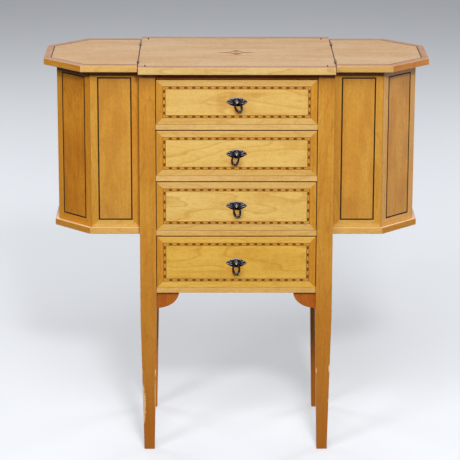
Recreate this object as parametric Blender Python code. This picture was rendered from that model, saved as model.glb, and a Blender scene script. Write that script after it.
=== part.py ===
"""A sewing cabinet: four drawers in a case on tapered legs, with a lidded pocket wing at each side.

Metres, +Z up, with the drawers facing -Y. The origin lies on the floor under the middle of the cabinet.
"""

import math

import bmesh
import bpy
from mathutils import Vector

# Fits and edges
FIT = 0.0003                        # gap between two pieces that touch
EDGE_ROUND = 0.0006                 # softened edge of a finished piece
CUT_PAST = 0.002                    # how far a cut reaches past the face that it opens

# Case
HEIGHT = 0.750                      # floor to the upper face of the top
CASE_WIDTH = 0.361                  # over the legs
CASE_DEPTH = 0.270                  # over the legs
LEG_SIZE = 0.0305                   # square leg beside the drawers
FOOT_SIZE = 0.0195                  # square leg at the floor
TAPER_DROP = 0.047                  # from the case's underside down to where the taper starts
SIDE_THICKNESS = 0.007
SIDE_INSET = 0.004                  # side panel behind the outer faces of the legs
SIDE_TONGUE = 0.005                 # side panel's edge in the leg
BACK_THICKNESS = 0.005
BACK_INSET = 0.005                  # back panel ahead of the rear faces of the legs
BACK_TONGUE = 0.005                 # back panel's edge in the leg
RAIL_HEIGHT = 0.010
RAIL_INSET = 0.0005                 # rails behind the front faces of the legs
RAIL_TENON = 0.008                  # length of a rail's tenon in the leg
TENON_SHOULDER = 0.006              # rail's face to the tenon's face
TOP_RAIL_HEIGHT = 0.012
TOP_RAIL_INSET = 0.002
DUST_BOARD_THICKNESS = 0.008
DUST_BOARD_HOUSING = 0.003          # board's end in the side panel
BOTTOM_THICKNESS = 0.0105
BRACKET_WIDTH = 0.042
BRACKET_DROP = 0.0312
BRACKET_THICKNESS = 0.010
BRACKET_INSET = 0.006               # bracket behind the front faces of the legs

# Drawers, from the top one down
DRAWER_OPENINGS = (0.086, 0.088, 0.095, 0.1015)
DRAWER_TOP_GAP = 0.002
DRAWER_SIDE_GAP = 0.0013
DRAWER_REAR_ROOM = 0.010            # drawer's back to the back panel
DRAWER_FRONT_THICKNESS = 0.014
DRAWER_LAP = 0.008                  # drawer side's end in the drawer front
DRAWER_SIDE_THICKNESS = 0.007
DRAWER_SIDE_DROP = 0.004            # drawer side below the front's upper edge
DRAWER_BACK_THICKNESS = 0.006
DRAWER_BOTTOM_THICKNESS = 0.004
DRAWER_BOTTOM_RAISE = 0.006         # drawer's lower edge to its bottom panel
DRAWER_GROOVE = 0.003               # bottom panel's edge in the sides, back and front

# Pulls
PULL_RAISES = (0.001, -0.0004, 0.0018, -0.001)  # plate above the middle of each drawer front
PLATE_WIDTH = 0.039
PLATE_HEIGHT = 0.017
PLATE_THICKNESS = 0.0012
BOSS_RADIUS = 0.0062
BOSS_HEIGHT = 0.0034                # boss above the drawer front
STUD_RADIUS = 0.002
STUD_LENGTH = 0.009                 # screwed end in the drawer front
RING_REACH = 0.007                  # ring's axis ahead of the drawer front
RING_WIDTH = 0.0142                 # over the wire
RING_HEIGHT = 0.0244                # over the wire
RING_WIRE_RADIUS = 0.0014
EYE_RADIUS = 0.0040
EYE_BORE_RADIUS = 0.0022
EYE_WIDTH = 0.003

# Top and lids
TOP_THICKNESS = 0.012
TOP_FRONT_OVERHANG = 0.016          # over the leg fronts, and the same behind
TOP_SIDE_OVERHANG = 0.001
LID_JOINT = 0.002                   # gap between the top and a lid
LID_OVERHANG = 0.0235               # over the wing walls
LID_CHAMFER = 0.0725

# Wings
WING_REACH = 0.1555                 # from the leg's outer face to the wing's outer face
WING_SETBACK = 0.025                # wing's front face behind the leg fronts
WING_CHAMFER = 0.064
WING_WALL_HEIGHT = 0.3012
WING_WALL_THICKNESS = 0.007
WING_FLOOR_THICKNESS = 0.0115
WING_FLOOR_OVERHANG = 0.007

# Butt hinges
HINGE_SPREAD = 0.085                # from the middle of a lid's two hinges to each hinge's middle
HINGE_FORWARD = 0.012               # middle of a lid's two hinges ahead of the cabinet's middle line
HINGE_LENGTH = 0.025
HINGE_RAISE = 0.0014                # pin's axis above the top's upper face
BARREL_RADIUS = 0.0020
MIDDLE_KNUCKLE = 0.009
PIN_RADIUS = 0.0010
LEAF_THICKNESS = 0.0012
LEAF_DROP = 0.010                   # leaf's lower edge below the pin's axis

# Facets of the round shapes
BARREL_SIDES = 16
BOSS_SIDES = 20
BOSS_STEPS = 5
ARC_STEPS = 12
RING_STEPS = 28
WIRE_SIDES = 8
SOFTEN_SEGMENTS = 2
SOFTEN_ANGLE = math.radians(30)
SMOOTH_ANGLE = math.radians(40)

# Places worked out from the sizes above
TOP_UNDERSIDE = HEIGHT - TOP_THICKNESS
CASE_TOP = TOP_UNDERSIDE - FIT
CASE_HALF = CASE_WIDTH / 2
HALF_DEPTH = CASE_DEPTH / 2
LEG_INNER = CASE_HALF - LEG_SIZE
LEG_NEAR = HALF_DEPTH - LEG_SIZE
SIDE_OUTER = CASE_HALF - SIDE_INSET
SIDE_INNER = SIDE_OUTER - SIDE_THICKNESS
BACK_REAR = HALF_DEPTH - BACK_INSET
BACK_FRONT = BACK_REAR - BACK_THICKNESS
TOP_HALF = CASE_HALF + TOP_SIDE_OVERHANG
TOP_HALF_DEPTH = HALF_DEPTH + TOP_FRONT_OVERHANG
WING_OUTER = CASE_HALF + WING_REACH
WING_HALF_DEPTH = HALF_DEPTH - WING_SETBACK
WING_FLOOR_TOP = TOP_UNDERSIDE - WING_WALL_HEIGHT
LID_INNER = TOP_HALF + LID_JOINT
HINGE_X = TOP_HALF + LID_JOINT / 2
HINGE_Z = HEIGHT + HINGE_RAISE

SIDES = (("left", -1), ("right", 1))
ENDS = (("front", -1), ("rear", 1))


def drawer_levels():
    """Give the lower and upper edge of each drawer's opening, from the top one down."""
    levels = []
    upper = TOP_UNDERSIDE - TOP_RAIL_HEIGHT
    for opening in DRAWER_OPENINGS:
        levels.append((upper - opening, upper))
        upper -= opening + RAIL_HEIGHT
    return levels


LEVELS = drawer_levels()
CASE_BOTTOM = LEVELS[-1][0] - BOTTOM_THICKNESS
TAPER_START = CASE_BOTTOM - TAPER_DROP


# Finishes

def finish(name, colour, roughness, metallic=0.0):
    """Make a plain Principled finish."""
    material = bpy.data.materials.new(name)
    material.use_nodes = True
    shader = material.node_tree.nodes["Principled BSDF"]
    shader.inputs["Base Color"].default_value = (*colour, 1.0)
    shader.inputs["Roughness"].default_value = roughness
    shader.inputs["Metallic"].default_value = metallic
    material.diffuse_color = (*colour, 1.0)
    return material


# Shapes, in world places

def box_shape(low, high):
    """Make a box between two corners."""
    shape = bmesh.new()
    bmesh.ops.create_cube(shape, size=1.0)
    low = Vector(low)
    high = Vector(high)
    for vert in shape.verts:
        vert.co = (low + high) / 2 + vert.co * (high - low)
    return shape


def flipped_box(low, high, x_side, y_side=1):
    """Make a box given for the right rear quarter, flipped to another side."""
    low = Vector((low[0] * x_side, low[1] * y_side, low[2]))
    high = Vector((high[0] * x_side, high[1] * y_side, high[2]))
    return box_shape([min(a, b) for a, b in zip(low, high)], [max(a, b) for a, b in zip(low, high)])


def prism_shape(outline, axis, start, end):
    """Extrude an outline of two coordinates along the third one, X, Y or Z."""
    shape = bmesh.new()
    verts = []
    for first, second in outline:
        place = {"X": (start, first, second), "Y": (first, start, second), "Z": (first, second, start)}[axis]
        verts.append(shape.verts.new(place))
    face = shape.faces.new(verts)
    moved = bmesh.ops.extrude_face_region(shape, geom=[face])["geom"]
    shift = Vector([end - start if axis == letter else 0.0 for letter in "XYZ"])
    bmesh.ops.translate(shape, vec=shift, verts=[item for item in moved if isinstance(item, bmesh.types.BMVert)])
    bmesh.ops.recalc_face_normals(shape, faces=shape.faces)
    return shape


def lofted_shape(rings, closed=False):
    """Join rings of as many points each into one skin, capped at its ends or closed on itself."""
    shape = bmesh.new()
    loops = [[shape.verts.new(point) for point in ring] for ring in rings]
    pairs = list(zip(loops, loops[1:]))
    if closed:
        pairs.append((loops[-1], loops[0]))
    else:
        shape.faces.new(loops[0])
        shape.faces.new(loops[-1])
    for one, other in pairs:
        count = len(one)
        for index in range(count):
            after = (index + 1) % count
            shape.faces.new((one[index], one[after], other[after], other[index]))
    bmesh.ops.recalc_face_normals(shape, faces=shape.faces)
    return shape


def rod_shape(centre, axis, radius, length, sides=BARREL_SIDES):
    """Make a round rod along X or Y, with its middle at the centre."""
    rings = []
    for end in (-length / 2, length / 2):
        ring = []
        for index in range(sides):
            turn = 2 * math.pi * index / sides
            across = radius * math.cos(turn)
            up = radius * math.sin(turn)
            along = (end, across, up) if axis == "X" else (across, end, up)
            ring.append(Vector(centre) + Vector(along))
        rings.append(ring)
    return lofted_shape(rings)


def turned_shape(profile, centre, sides):
    """Turn a profile of radius and height about the -Y axis through the centre."""
    rings = []
    for radius, height in profile:
        ring = []
        for index in range(sides):
            turn = 2 * math.pi * index / sides
            ring.append(Vector(centre) + Vector((radius * math.cos(turn), -height, radius * math.sin(turn))))
        rings.append(ring)
    return lofted_shape(rings)


# Objects

def place_of(thing):
    """Give the world place of an object whose parents are moved but never turned."""
    place = Vector((0.0, 0.0, 0.0))
    while thing is not None:
        place += thing.location
        thing = thing.parent
    return place


def group_at(name, place, parent=None):
    """Make an empty that carries pieces moving together."""
    group = bpy.data.objects.new(name, None)
    bpy.context.scene.collection.objects.link(group)
    group.parent = parent
    group.location = Vector(place) - place_of(parent)
    return group


def mesh_object(name, shape, pivot, parent):
    """Turn a shape into an object whose origin is at the pivot."""
    bmesh.ops.translate(shape, vec=-Vector(pivot), verts=shape.verts)
    mesh = bpy.data.meshes.new(name)
    shape.to_mesh(mesh)
    shape.free()
    thing = bpy.data.objects.new(name, mesh)
    bpy.context.scene.collection.objects.link(thing)
    thing.parent = parent
    thing.location = Vector(pivot) - place_of(parent)
    return thing


def make_piece(name, shape, material, group, pivot=None, round_piece=False):
    """Make one named piece, with its origin at the pivot or in the middle of its box."""
    if pivot is None:
        corners = [[function(vert.co[axis] for vert in shape.verts) for axis in range(3)] for function in (min, max)]
        pivot = (Vector(corners[0]) + Vector(corners[1])) / 2
    piece = mesh_object(name, shape, pivot, group)
    piece.data.materials.append(material)
    if round_piece:
        piece.data.shade_smooth()
        piece.data.set_sharp_from_angle(angle=SMOOTH_ANGLE)
    return piece


def soften(piece, width=EDGE_ROUND):
    """Take the sharpness off a piece's edges."""
    bevel = piece.modifiers.new("soft_edges", "BEVEL")
    bevel.width = width
    bevel.segments = SOFTEN_SEGMENTS
    bevel.limit_method = "ANGLE"
    bevel.angle_limit = SOFTEN_ANGLE


def combine(piece, shape, operation):
    """Cut a shape from a piece, or join it to the piece, with a hidden helper that moves along."""
    helper = mesh_object(f"{piece.name}_helper_{len(piece.modifiers)}", shape, place_of(piece), piece)
    helper.hide_render = True
    helper.display_type = "WIRE"
    boolean = piece.modifiers.new(helper.name, "BOOLEAN")
    boolean.operation = operation
    boolean.solver = "EXACT"
    boolean.object = helper


def carve(piece, shape):
    """Cut a shape from a piece."""
    combine(piece, shape, "DIFFERENCE")


def fuse(piece, shape):
    """Join a shape to a piece."""
    combine(piece, shape, "UNION")


# Case

def rail_span(index):
    """Give the lower and upper face of divider rail 0, 1 or 2, under the drawer of the same number."""
    upper = LEVELS[index][0]
    return upper - RAIL_HEIGHT, upper


def leg_shape(x_side, y_side):
    """Make a square leg, tapered on its four sides below the case."""
    middle_x = x_side * (CASE_HALF - LEG_SIZE / 2)
    middle_y = y_side * (HALF_DEPTH - LEG_SIZE / 2)
    rings = []
    for height, size in ((0.0, FOOT_SIZE), (TAPER_START, LEG_SIZE), (CASE_TOP, LEG_SIZE)):
        half = size / 2
        rings.append([
            (middle_x - half, middle_y - half, height),
            (middle_x + half, middle_y - half, height),
            (middle_x + half, middle_y + half, height),
            (middle_x - half, middle_y + half, height),
        ])
    return lofted_shape(rings)


def make_legs(material, cabinet):
    """Make the legs, with grooves for the panels and mortises for the rails."""
    for end, y_side in ENDS:
        for side, x_side in SIDES:
            leg = make_piece(f"leg_{end}_{side}", leg_shape(x_side, y_side), material, cabinet)
            soften(leg)
            groove_low = (SIDE_INNER - FIT, LEG_NEAR - CUT_PAST, CASE_BOTTOM - FIT)
            groove_high = (SIDE_OUTER + FIT, LEG_NEAR + SIDE_TONGUE + FIT, CASE_TOP + CUT_PAST)
            carve(leg, flipped_box(groove_low, groove_high, x_side, y_side))
            if end == "rear":
                low = (LEG_INNER - CUT_PAST, BACK_FRONT - FIT, CASE_BOTTOM - FIT)
                high = (LEG_INNER + BACK_TONGUE + FIT, BACK_REAR + FIT, CASE_TOP + CUT_PAST)
                carve(leg, flipped_box(low, high, x_side))
                continue
            spans = [(RAIL_INSET, *rail_span(index)) for index in range(len(LEVELS) - 1)]
            spans.append((TOP_RAIL_INSET, CASE_TOP - TOP_RAIL_HEIGHT, CASE_TOP + CUT_PAST))
            for inset, lower, upper in spans:
                low = (LEG_INNER - CUT_PAST, LEG_NEAR + TENON_SHOULDER - FIT, lower - FIT)
                high = (LEG_INNER + RAIL_TENON + FIT, HALF_DEPTH - inset - TENON_SHOULDER + FIT, upper + FIT)
                carve(leg, flipped_box(low, high, x_side, y_side))


def rail_outline(inset):
    """Give a rail's outline from above: as deep as the legs, with a tenon at each end."""
    front = inset - HALF_DEPTH
    rear = -LEG_NEAR
    shoulder = LEG_INNER - FIT
    tip = LEG_INNER + RAIL_TENON
    return [
        (-shoulder, front), (shoulder, front),
        (shoulder, front + TENON_SHOULDER), (tip, front + TENON_SHOULDER),
        (tip, rear - TENON_SHOULDER), (shoulder, rear - TENON_SHOULDER),
        (shoulder, rear), (-shoulder, rear),
        (-shoulder, rear - TENON_SHOULDER), (-tip, rear - TENON_SHOULDER),
        (-tip, front + TENON_SHOULDER), (-shoulder, front + TENON_SHOULDER),
    ]


def make_rails(material, cabinet):
    """Make the rail under the top and the rails between the drawers."""
    top_rail = prism_shape(rail_outline(TOP_RAIL_INSET), "Z", CASE_TOP - TOP_RAIL_HEIGHT, CASE_TOP)
    make_piece("top_rail", top_rail, material, cabinet)
    for index in range(len(LEVELS) - 1):
        rail = prism_shape(rail_outline(RAIL_INSET), "Z", *rail_span(index))
        make_piece(f"divider_rail_{index + 1}", rail, material, cabinet)


def make_boards(face_wood, inner_wood, cabinet):
    """Make the dust boards behind the rails and the bottom board, notched round the legs."""
    narrow = LEG_INNER - FIT
    near = LEG_NEAR - FIT
    rear = BACK_FRONT - FIT
    wide = SIDE_INNER + DUST_BOARD_HOUSING - FIT
    dust_outline = [(-wide, -near), (wide, -near), (wide, near), (narrow, near),
                    (narrow, rear), (-narrow, rear), (-narrow, near), (-wide, near)]
    for index in range(len(LEVELS) - 1):
        upper = LEVELS[index][0]
        board = prism_shape(dust_outline, "Z", upper - DUST_BOARD_THICKNESS, upper)
        make_piece(f"dust_board_{index + 1}", board, inner_wood, cabinet)
    front = RAIL_INSET - HALF_DEPTH
    wide = SIDE_INNER - FIT
    bottom_outline = [(-narrow, front), (narrow, front), (narrow, -near), (wide, -near),
                      (wide, near), (narrow, near), (narrow, rear), (-narrow, rear),
                      (-narrow, near), (-wide, near), (-wide, -near), (-narrow, -near)]
    bottom = make_piece("bottom_board", prism_shape(bottom_outline, "Z", CASE_BOTTOM, LEVELS[-1][0]),
                        face_wood, cabinet)
    soften(bottom)


def side_panel_outline(x_side):
    """Give a side panel's outline from the front, with a housing for each dust board."""
    outline = [(SIDE_OUTER, CASE_TOP), (SIDE_OUTER, CASE_BOTTOM), (SIDE_INNER, CASE_BOTTOM)]
    deep = SIDE_INNER + DUST_BOARD_HOUSING
    for lower, _ in reversed(LEVELS[:-1]):
        foot = lower - DUST_BOARD_THICKNESS - FIT
        head = lower + FIT
        outline += [(SIDE_INNER, foot), (deep, foot), (deep, head), (SIDE_INNER, head)]
    outline.append((SIDE_INNER, CASE_TOP))
    return [(x_side * x, z) for x, z in outline]


def make_panels(face_wood, inner_wood, cabinet):
    """Make the side panels and the back panel, held in the grooves of the legs."""
    reach = LEG_NEAR + SIDE_TONGUE
    for side, x_side in SIDES:
        panel = prism_shape(side_panel_outline(x_side), "Y", -reach, reach)
        make_piece(f"side_panel_{side}", panel, face_wood, cabinet)
    half = LEG_INNER + BACK_TONGUE
    back = box_shape((-half, BACK_FRONT, CASE_BOTTOM), (half, BACK_REAR, CASE_TOP))
    make_piece("back_panel", back, inner_wood, cabinet)


def make_brackets(material, cabinet):
    """Make the rounded brackets between the bottom board and the front legs."""
    front = BRACKET_INSET - HALF_DEPTH
    corner_x = LEG_INNER - FIT
    corner_z = CASE_BOTTOM - FIT
    for side, x_side in SIDES:
        outline = [(x_side * corner_x, corner_z)]
        for step in range(ARC_STEPS + 1):
            turn = math.pi / 2 * step / ARC_STEPS
            x = corner_x - BRACKET_WIDTH * math.cos(turn)
            outline.append((x_side * x, corner_z - BRACKET_DROP * math.sin(turn)))
        bracket = prism_shape(outline, "Y", front, front + BRACKET_THICKNESS)
        make_piece(f"bracket_{side}", bracket, material, cabinet)


# Top, lids and hinges

def hinge_recess(x_side, toward, middle_y):
    """Make the cut for one leaf and the barrel, on the side of the hinge line that toward points to."""
    back = FIT + LEAF_THICKNESS + FIT
    barrel = BARREL_RADIUS + FIT
    foot = HINGE_Z - LEAF_DROP - FIT
    ledge = HINGE_Z - barrel
    head = HINGE_Z + barrel
    steps = [(0.0, foot), (back, foot), (back, ledge), (barrel, ledge), (barrel, head), (0.0, head)]
    outline = [(x_side * (HINGE_X + toward * offset), z) for offset, z in steps]
    half = HINGE_LENGTH / 2 + FIT
    return prism_shape(outline, "Y", middle_y - half, middle_y + half)


def half_octagon(inner, outer, half_depth, chamfer):
    """Give the outline from above of a right-hand wing or lid, from its front inner corner round to the rear one."""
    return [(inner, -half_depth), (outer - chamfer, -half_depth), (outer, chamfer - half_depth),
            (outer, half_depth - chamfer), (outer - chamfer, half_depth), (inner, half_depth)]


def make_top(material, cabinet):
    """Make the fixed centre top, recessed for the hinges."""
    top = make_piece("centre_top", box_shape((-TOP_HALF, -TOP_HALF_DEPTH, TOP_UNDERSIDE),
                                             (TOP_HALF, TOP_HALF_DEPTH, HEIGHT)), material, cabinet)
    soften(top)
    for _, x_side in SIDES:
        for _, y_side in ENDS:
            carve(top, hinge_recess(x_side, -1, y_side * HINGE_SPREAD - HINGE_FORWARD))


def make_lids(material, lid_groups):
    """Make the two lids, recessed for the hinges."""
    outline = half_octagon(LID_INNER, WING_OUTER + LID_OVERHANG, WING_HALF_DEPTH + LID_OVERHANG, LID_CHAMFER)
    for side, x_side in SIDES:
        flipped = [(x_side * x, y) for x, y in outline]
        lid = make_piece(f"lid_{side}", prism_shape(flipped, "Z", TOP_UNDERSIDE, HEIGHT), material,
                         lid_groups[side], place_of(lid_groups[side]))
        soften(lid)
        for _, y_side in ENDS:
            carve(lid, hinge_recess(x_side, 1, y_side * HINGE_SPREAD - HINGE_FORWARD))


def make_hinge(name, x_side, middle_y, material, cabinet, lid_group):
    """Make a butt hinge: a leaf with the pin on the top, and a bored leaf on the lid."""
    axis = Vector((x_side * HINGE_X, middle_y, HINGE_Z))
    half = HINGE_LENGTH / 2
    knuckle = MIDDLE_KNUCKLE / 2
    foot = HINGE_Z - LEAF_DROP
    waist = HINGE_Z - BARREL_RADIUS - FIT
    near = FIT
    far = FIT + LEAF_THICKNESS
    outer_length = half - knuckle - FIT

    inside = knuckle + 2 * FIT
    reach = half - FIT
    outline = [(-reach, foot), (reach, foot), (reach, HINGE_Z), (inside, HINGE_Z),
               (inside, waist), (-inside, waist), (-inside, HINGE_Z), (-reach, HINGE_Z)]
    outline = [(middle_y + y, z) for y, z in outline]
    leaf = prism_shape(outline, "X", x_side * (HINGE_X - near), x_side * (HINGE_X - far))
    fixed = make_piece(f"{name}_top_leaf", leaf, material, cabinet, axis, round_piece=True)
    for y_side in (-1, 1):
        middle = axis + Vector((0.0, y_side * (half - outer_length / 2), 0.0))
        fuse(fixed, rod_shape(middle, "Y", BARREL_RADIUS, outer_length))
    fuse(fixed, rod_shape(axis, "Y", PIN_RADIUS, HINGE_LENGTH - outer_length))

    inside = knuckle - FIT
    outline = [(-reach, foot), (reach, foot), (reach, waist), (inside, waist),
               (inside, HINGE_Z), (-inside, HINGE_Z), (-inside, waist), (-reach, waist)]
    outline = [(middle_y + y, z) for y, z in outline]
    leaf = prism_shape(outline, "X", x_side * (HINGE_X + near), x_side * (HINGE_X + far))
    moving = make_piece(f"{name}_lid_leaf", leaf, material, lid_group, axis, round_piece=True)
    fuse(moving, rod_shape(axis, "Y", BARREL_RADIUS, MIDDLE_KNUCKLE))
    carve(moving, rod_shape(axis, "Y", PIN_RADIUS + FIT, HINGE_LENGTH))


def make_hinges(material, cabinet, lid_groups):
    """Make two butt hinges for each lid."""
    for side, x_side in SIDES:
        for end, y_side in ENDS:
            middle_y = y_side * HINGE_SPREAD - HINGE_FORWARD
            make_hinge(f"hinge_{side}_{end}", x_side, middle_y, material, cabinet, lid_groups[side])


# Wings

def wing_outline(inner, offset):
    """Give the wing's outline from above, moved out evenly by the offset."""
    chamfer = WING_CHAMFER + offset * (2 - math.sqrt(2))
    return half_octagon(inner, WING_OUTER + offset, WING_HALF_DEPTH + offset, chamfer)


def make_wing(side, x_side, material, cabinet):
    """Make a wing's five mitred walls and its floor."""
    inner = CASE_HALF + FIT
    outside = [Vector(corner) for corner in wing_outline(inner, 0.0)]
    inside = [Vector(corner) for corner in wing_outline(inner, -WING_WALL_THICKNESS)]
    names = ("front", "front_diagonal", "side", "rear_diagonal", "rear")
    last = len(names) - 1
    for index, name in enumerate(names):
        along = (outside[index + 1] - outside[index]).normalized() * FIT
        start = along if index > 0 else along * 0
        end = along if index < last else along * 0
        outline = [outside[index] + start, outside[index + 1] - end, inside[index + 1] - end, inside[index] + start]
        wall = prism_shape([(x_side * x, y) for x, y in outline], "Z", WING_FLOOR_TOP + FIT, CASE_TOP)
        make_piece(f"wing_{side}_{name}", wall, material, cabinet)
    tongue = SIDE_OUTER + FIT
    near = LEG_NEAR - FIT
    outline = wing_outline(inner, WING_FLOOR_OVERHANG)
    outline += [(inner, near), (tongue, near), (tongue, -near), (inner, -near)]
    floor = prism_shape([(x_side * x, y) for x, y in outline], "Z",
                        WING_FLOOR_TOP - WING_FLOOR_THICKNESS, WING_FLOOR_TOP)
    soften(make_piece(f"wing_{side}_floor", floor, material, cabinet))


# Drawers

def make_drawer(number, level, face_wood, inner_wood, group):
    """Make a drawer's front, its box of sides and back, and its bottom panel."""
    lower = level[0] + FIT
    upper = level[1] - DRAWER_TOP_GAP
    half = LEG_INNER - DRAWER_SIDE_GAP
    front = -HALF_DEPTH
    front_back = front + DRAWER_FRONT_THICKNESS
    lap = front_back - DRAWER_LAP
    rear = BACK_FRONT - DRAWER_REAR_ROOM
    side_top = upper - DRAWER_SIDE_DROP
    inner = half - DRAWER_SIDE_THICKNESS
    back_front = rear - DRAWER_BACK_THICKNESS
    panel_low = lower + DRAWER_BOTTOM_RAISE
    panel_high = panel_low + DRAWER_BOTTOM_THICKNESS
    panel_half = inner + DRAWER_GROOVE
    panel_front = front_back - DRAWER_GROOVE
    panel_rear = back_front + DRAWER_GROOVE

    face = make_piece(f"drawer_{number}_front", box_shape((-half, front, lower), (half, front_back, upper)),
                      face_wood, group)
    soften(face)
    for _, x_side in SIDES:
        carve(face, flipped_box((inner - FIT, lap, lower - CUT_PAST),
                                (half + CUT_PAST, front_back + CUT_PAST, upper + CUT_PAST), x_side))
    carve(face, box_shape((-half - CUT_PAST, panel_front - FIT, panel_low - FIT),
                          (half + CUT_PAST, front_back + CUT_PAST, panel_high + FIT)))
    centre = Vector((0.0, front, (lower + upper) / 2 + PULL_RAISES[number - 1]))
    socket = STUD_LENGTH + FIT
    carve(face, rod_shape(centre + Vector((0.0, (socket - CUT_PAST) / 2, 0.0)), "Y", STUD_RADIUS + FIT,
                          socket + CUT_PAST, BOSS_SIDES))

    start = lap + FIT
    outline = [(-half, start), (-inner, start), (-inner, back_front), (inner, back_front),
               (inner, start), (half, start), (half, rear), (-half, rear)]
    body = make_piece(f"drawer_{number}_box", prism_shape(outline, "Z", lower, side_top), inner_wood, group)
    carve(body, box_shape((-panel_half - FIT, lap - CUT_PAST, panel_low - FIT),
                          (panel_half + FIT, panel_rear + FIT, panel_high + FIT)))
    bottom = box_shape((-panel_half, panel_front, panel_low), (panel_half, panel_rear, panel_high))
    make_piece(f"drawer_{number}_bottom", bottom, inner_wood, group)
    return centre


def plate_outline():
    """Give the pull plate's pointed oval: two arcs that meet at its ends."""
    half_width = PLATE_WIDTH / 2
    half_height = PLATE_HEIGHT / 2
    radius = (half_width ** 2 + half_height ** 2) / (2 * half_height)
    spread = math.asin(half_width / radius)
    outline = []
    for flip in (1, -1):
        for step in range(ARC_STEPS):
            turn = spread * (1 - 2 * step / ARC_STEPS)
            height = radius * math.cos(turn) - radius + half_height
            outline.append((flip * radius * math.sin(turn), flip * height))
    return outline


def make_pull(number, centre, material, group):
    """Make a pull's plate, with its boss, eye and stud, and the ring that hangs in the eye."""
    outline = [(centre.x + x, centre.z + z) for x, z in plate_outline()]
    shape = prism_shape(outline, "Y", centre.y - FIT, centre.y - FIT - PLATE_THICKNESS)
    plate = make_piece(f"pull_{number}_plate", shape, material, group, centre, round_piece=True)
    seat = PLATE_THICKNESS / 2
    profile = [(STUD_RADIUS, -STUD_LENGTH), (STUD_RADIUS, seat)]
    for step in range(BOSS_STEPS):
        turn = math.pi / 2 * step / BOSS_STEPS
        profile.append((BOSS_RADIUS * math.cos(turn), seat + (BOSS_HEIGHT - seat) * math.sin(turn)))
    fuse(plate, turned_shape(profile, centre, BOSS_SIDES))
    axis = centre - Vector((0.0, RING_REACH, 0.0))
    fuse(plate, rod_shape(axis, "X", EYE_RADIUS, EYE_WIDTH, BOSS_SIDES))
    carve(plate, rod_shape(axis, "X", EYE_BORE_RADIUS, EYE_WIDTH + 2 * CUT_PAST, BOSS_SIDES))

    across = RING_WIDTH / 2 - RING_WIRE_RADIUS
    down = RING_HEIGHT / 2 - RING_WIRE_RADIUS
    sections = []
    for step in range(RING_STEPS):
        turn = 2 * math.pi * step / RING_STEPS
        middle = axis + Vector((across * math.sin(turn), 0.0, down * (math.cos(turn) - 1)))
        outward = Vector((down * math.sin(turn), 0.0, across * math.cos(turn))).normalized()
        section = []
        for side in range(WIRE_SIDES):
            angle = 2 * math.pi * side / WIRE_SIDES
            toward = outward * math.cos(angle) + Vector((0.0, math.sin(angle), 0.0))
            section.append(middle + toward * RING_WIRE_RADIUS)
        sections.append(section)
    make_piece(f"pull_{number}_ring", lofted_shape(sections, closed=True), material, group, axis, round_piece=True)


def make_cabinet():
    """Make the whole cabinet in an emptied scene."""
    for thing in list(bpy.data.objects):
        bpy.data.objects.remove(thing, do_unlink=True)
    face_wood = finish("honey_veneer", (0.60, 0.34, 0.10), 0.42)
    drawer_wood = finish("pale_veneer", (0.70, 0.45, 0.16), 0.42)
    inner_wood = finish("plain_pine", (0.62, 0.46, 0.27), 0.65)
    iron = finish("black_iron", (0.03, 0.03, 0.035), 0.35, 1.0)
    steel = finish("dull_steel", (0.35, 0.34, 0.33), 0.40, 1.0)

    cabinet = group_at("cabinet", (0.0, 0.0, 0.0))
    lid_groups = {}
    for side, x_side in SIDES:
        lid_groups[side] = group_at(f"lid_{side}_axis", (x_side * HINGE_X, 0.0, HINGE_Z), cabinet)
    make_legs(face_wood, cabinet)
    make_rails(face_wood, cabinet)
    make_boards(face_wood, inner_wood, cabinet)
    make_panels(face_wood, inner_wood, cabinet)
    make_brackets(face_wood, cabinet)
    make_top(face_wood, cabinet)
    make_lids(face_wood, lid_groups)
    make_hinges(steel, cabinet, lid_groups)
    for side, x_side in SIDES:
        make_wing(side, x_side, face_wood, cabinet)
    for number, level in enumerate(LEVELS, start=1):
        slide = group_at(f"drawer_{number}_slide", (0.0, -HALF_DEPTH, level[0]), cabinet)
        centre = make_drawer(number, level, drawer_wood, inner_wood, slide)
        make_pull(number, centre, iron, slide)


make_cabinet()
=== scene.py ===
"""Looks of a sewing cabinet: veneers, inlay, pulls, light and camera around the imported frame.

Metres, +Z up, with the drawers facing -Y, as in the frame.
"""

import math
import random

import bmesh
import bpy
from mathutils import Matrix, Vector


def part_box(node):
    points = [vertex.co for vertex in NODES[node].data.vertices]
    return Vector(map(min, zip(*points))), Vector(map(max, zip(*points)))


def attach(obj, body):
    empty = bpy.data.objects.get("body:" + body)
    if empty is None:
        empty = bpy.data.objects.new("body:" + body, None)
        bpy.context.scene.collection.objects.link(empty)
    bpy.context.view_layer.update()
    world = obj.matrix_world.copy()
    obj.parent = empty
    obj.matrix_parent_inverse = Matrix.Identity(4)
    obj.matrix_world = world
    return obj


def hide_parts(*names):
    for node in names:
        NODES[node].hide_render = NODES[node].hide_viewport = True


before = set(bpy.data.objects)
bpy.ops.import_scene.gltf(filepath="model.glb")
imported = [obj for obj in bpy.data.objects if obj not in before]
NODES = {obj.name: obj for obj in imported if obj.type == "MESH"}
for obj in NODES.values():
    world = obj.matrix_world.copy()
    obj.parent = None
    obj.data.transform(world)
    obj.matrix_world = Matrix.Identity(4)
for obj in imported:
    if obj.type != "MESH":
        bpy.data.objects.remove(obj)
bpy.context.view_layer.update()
SIDES = (("left", -1), ("right", 1))
DRAWERS = (1, 2, 3, 4)
UP = Vector((0.0, 0.0, 1.0))
SEED = 11

# Camera, as the photograph was taken, for an image of 460 by 460 pixels
CAMERA_PLACE = Vector((-0.0518, -4.3826, 1.6147))
CAMERA_YAW = 0.00939
CAMERA_PITCH = -0.27024
CAMERA_ROLL = 0.00266
SENSOR_WIDTH = 36.0
LENS = 184.46

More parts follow.
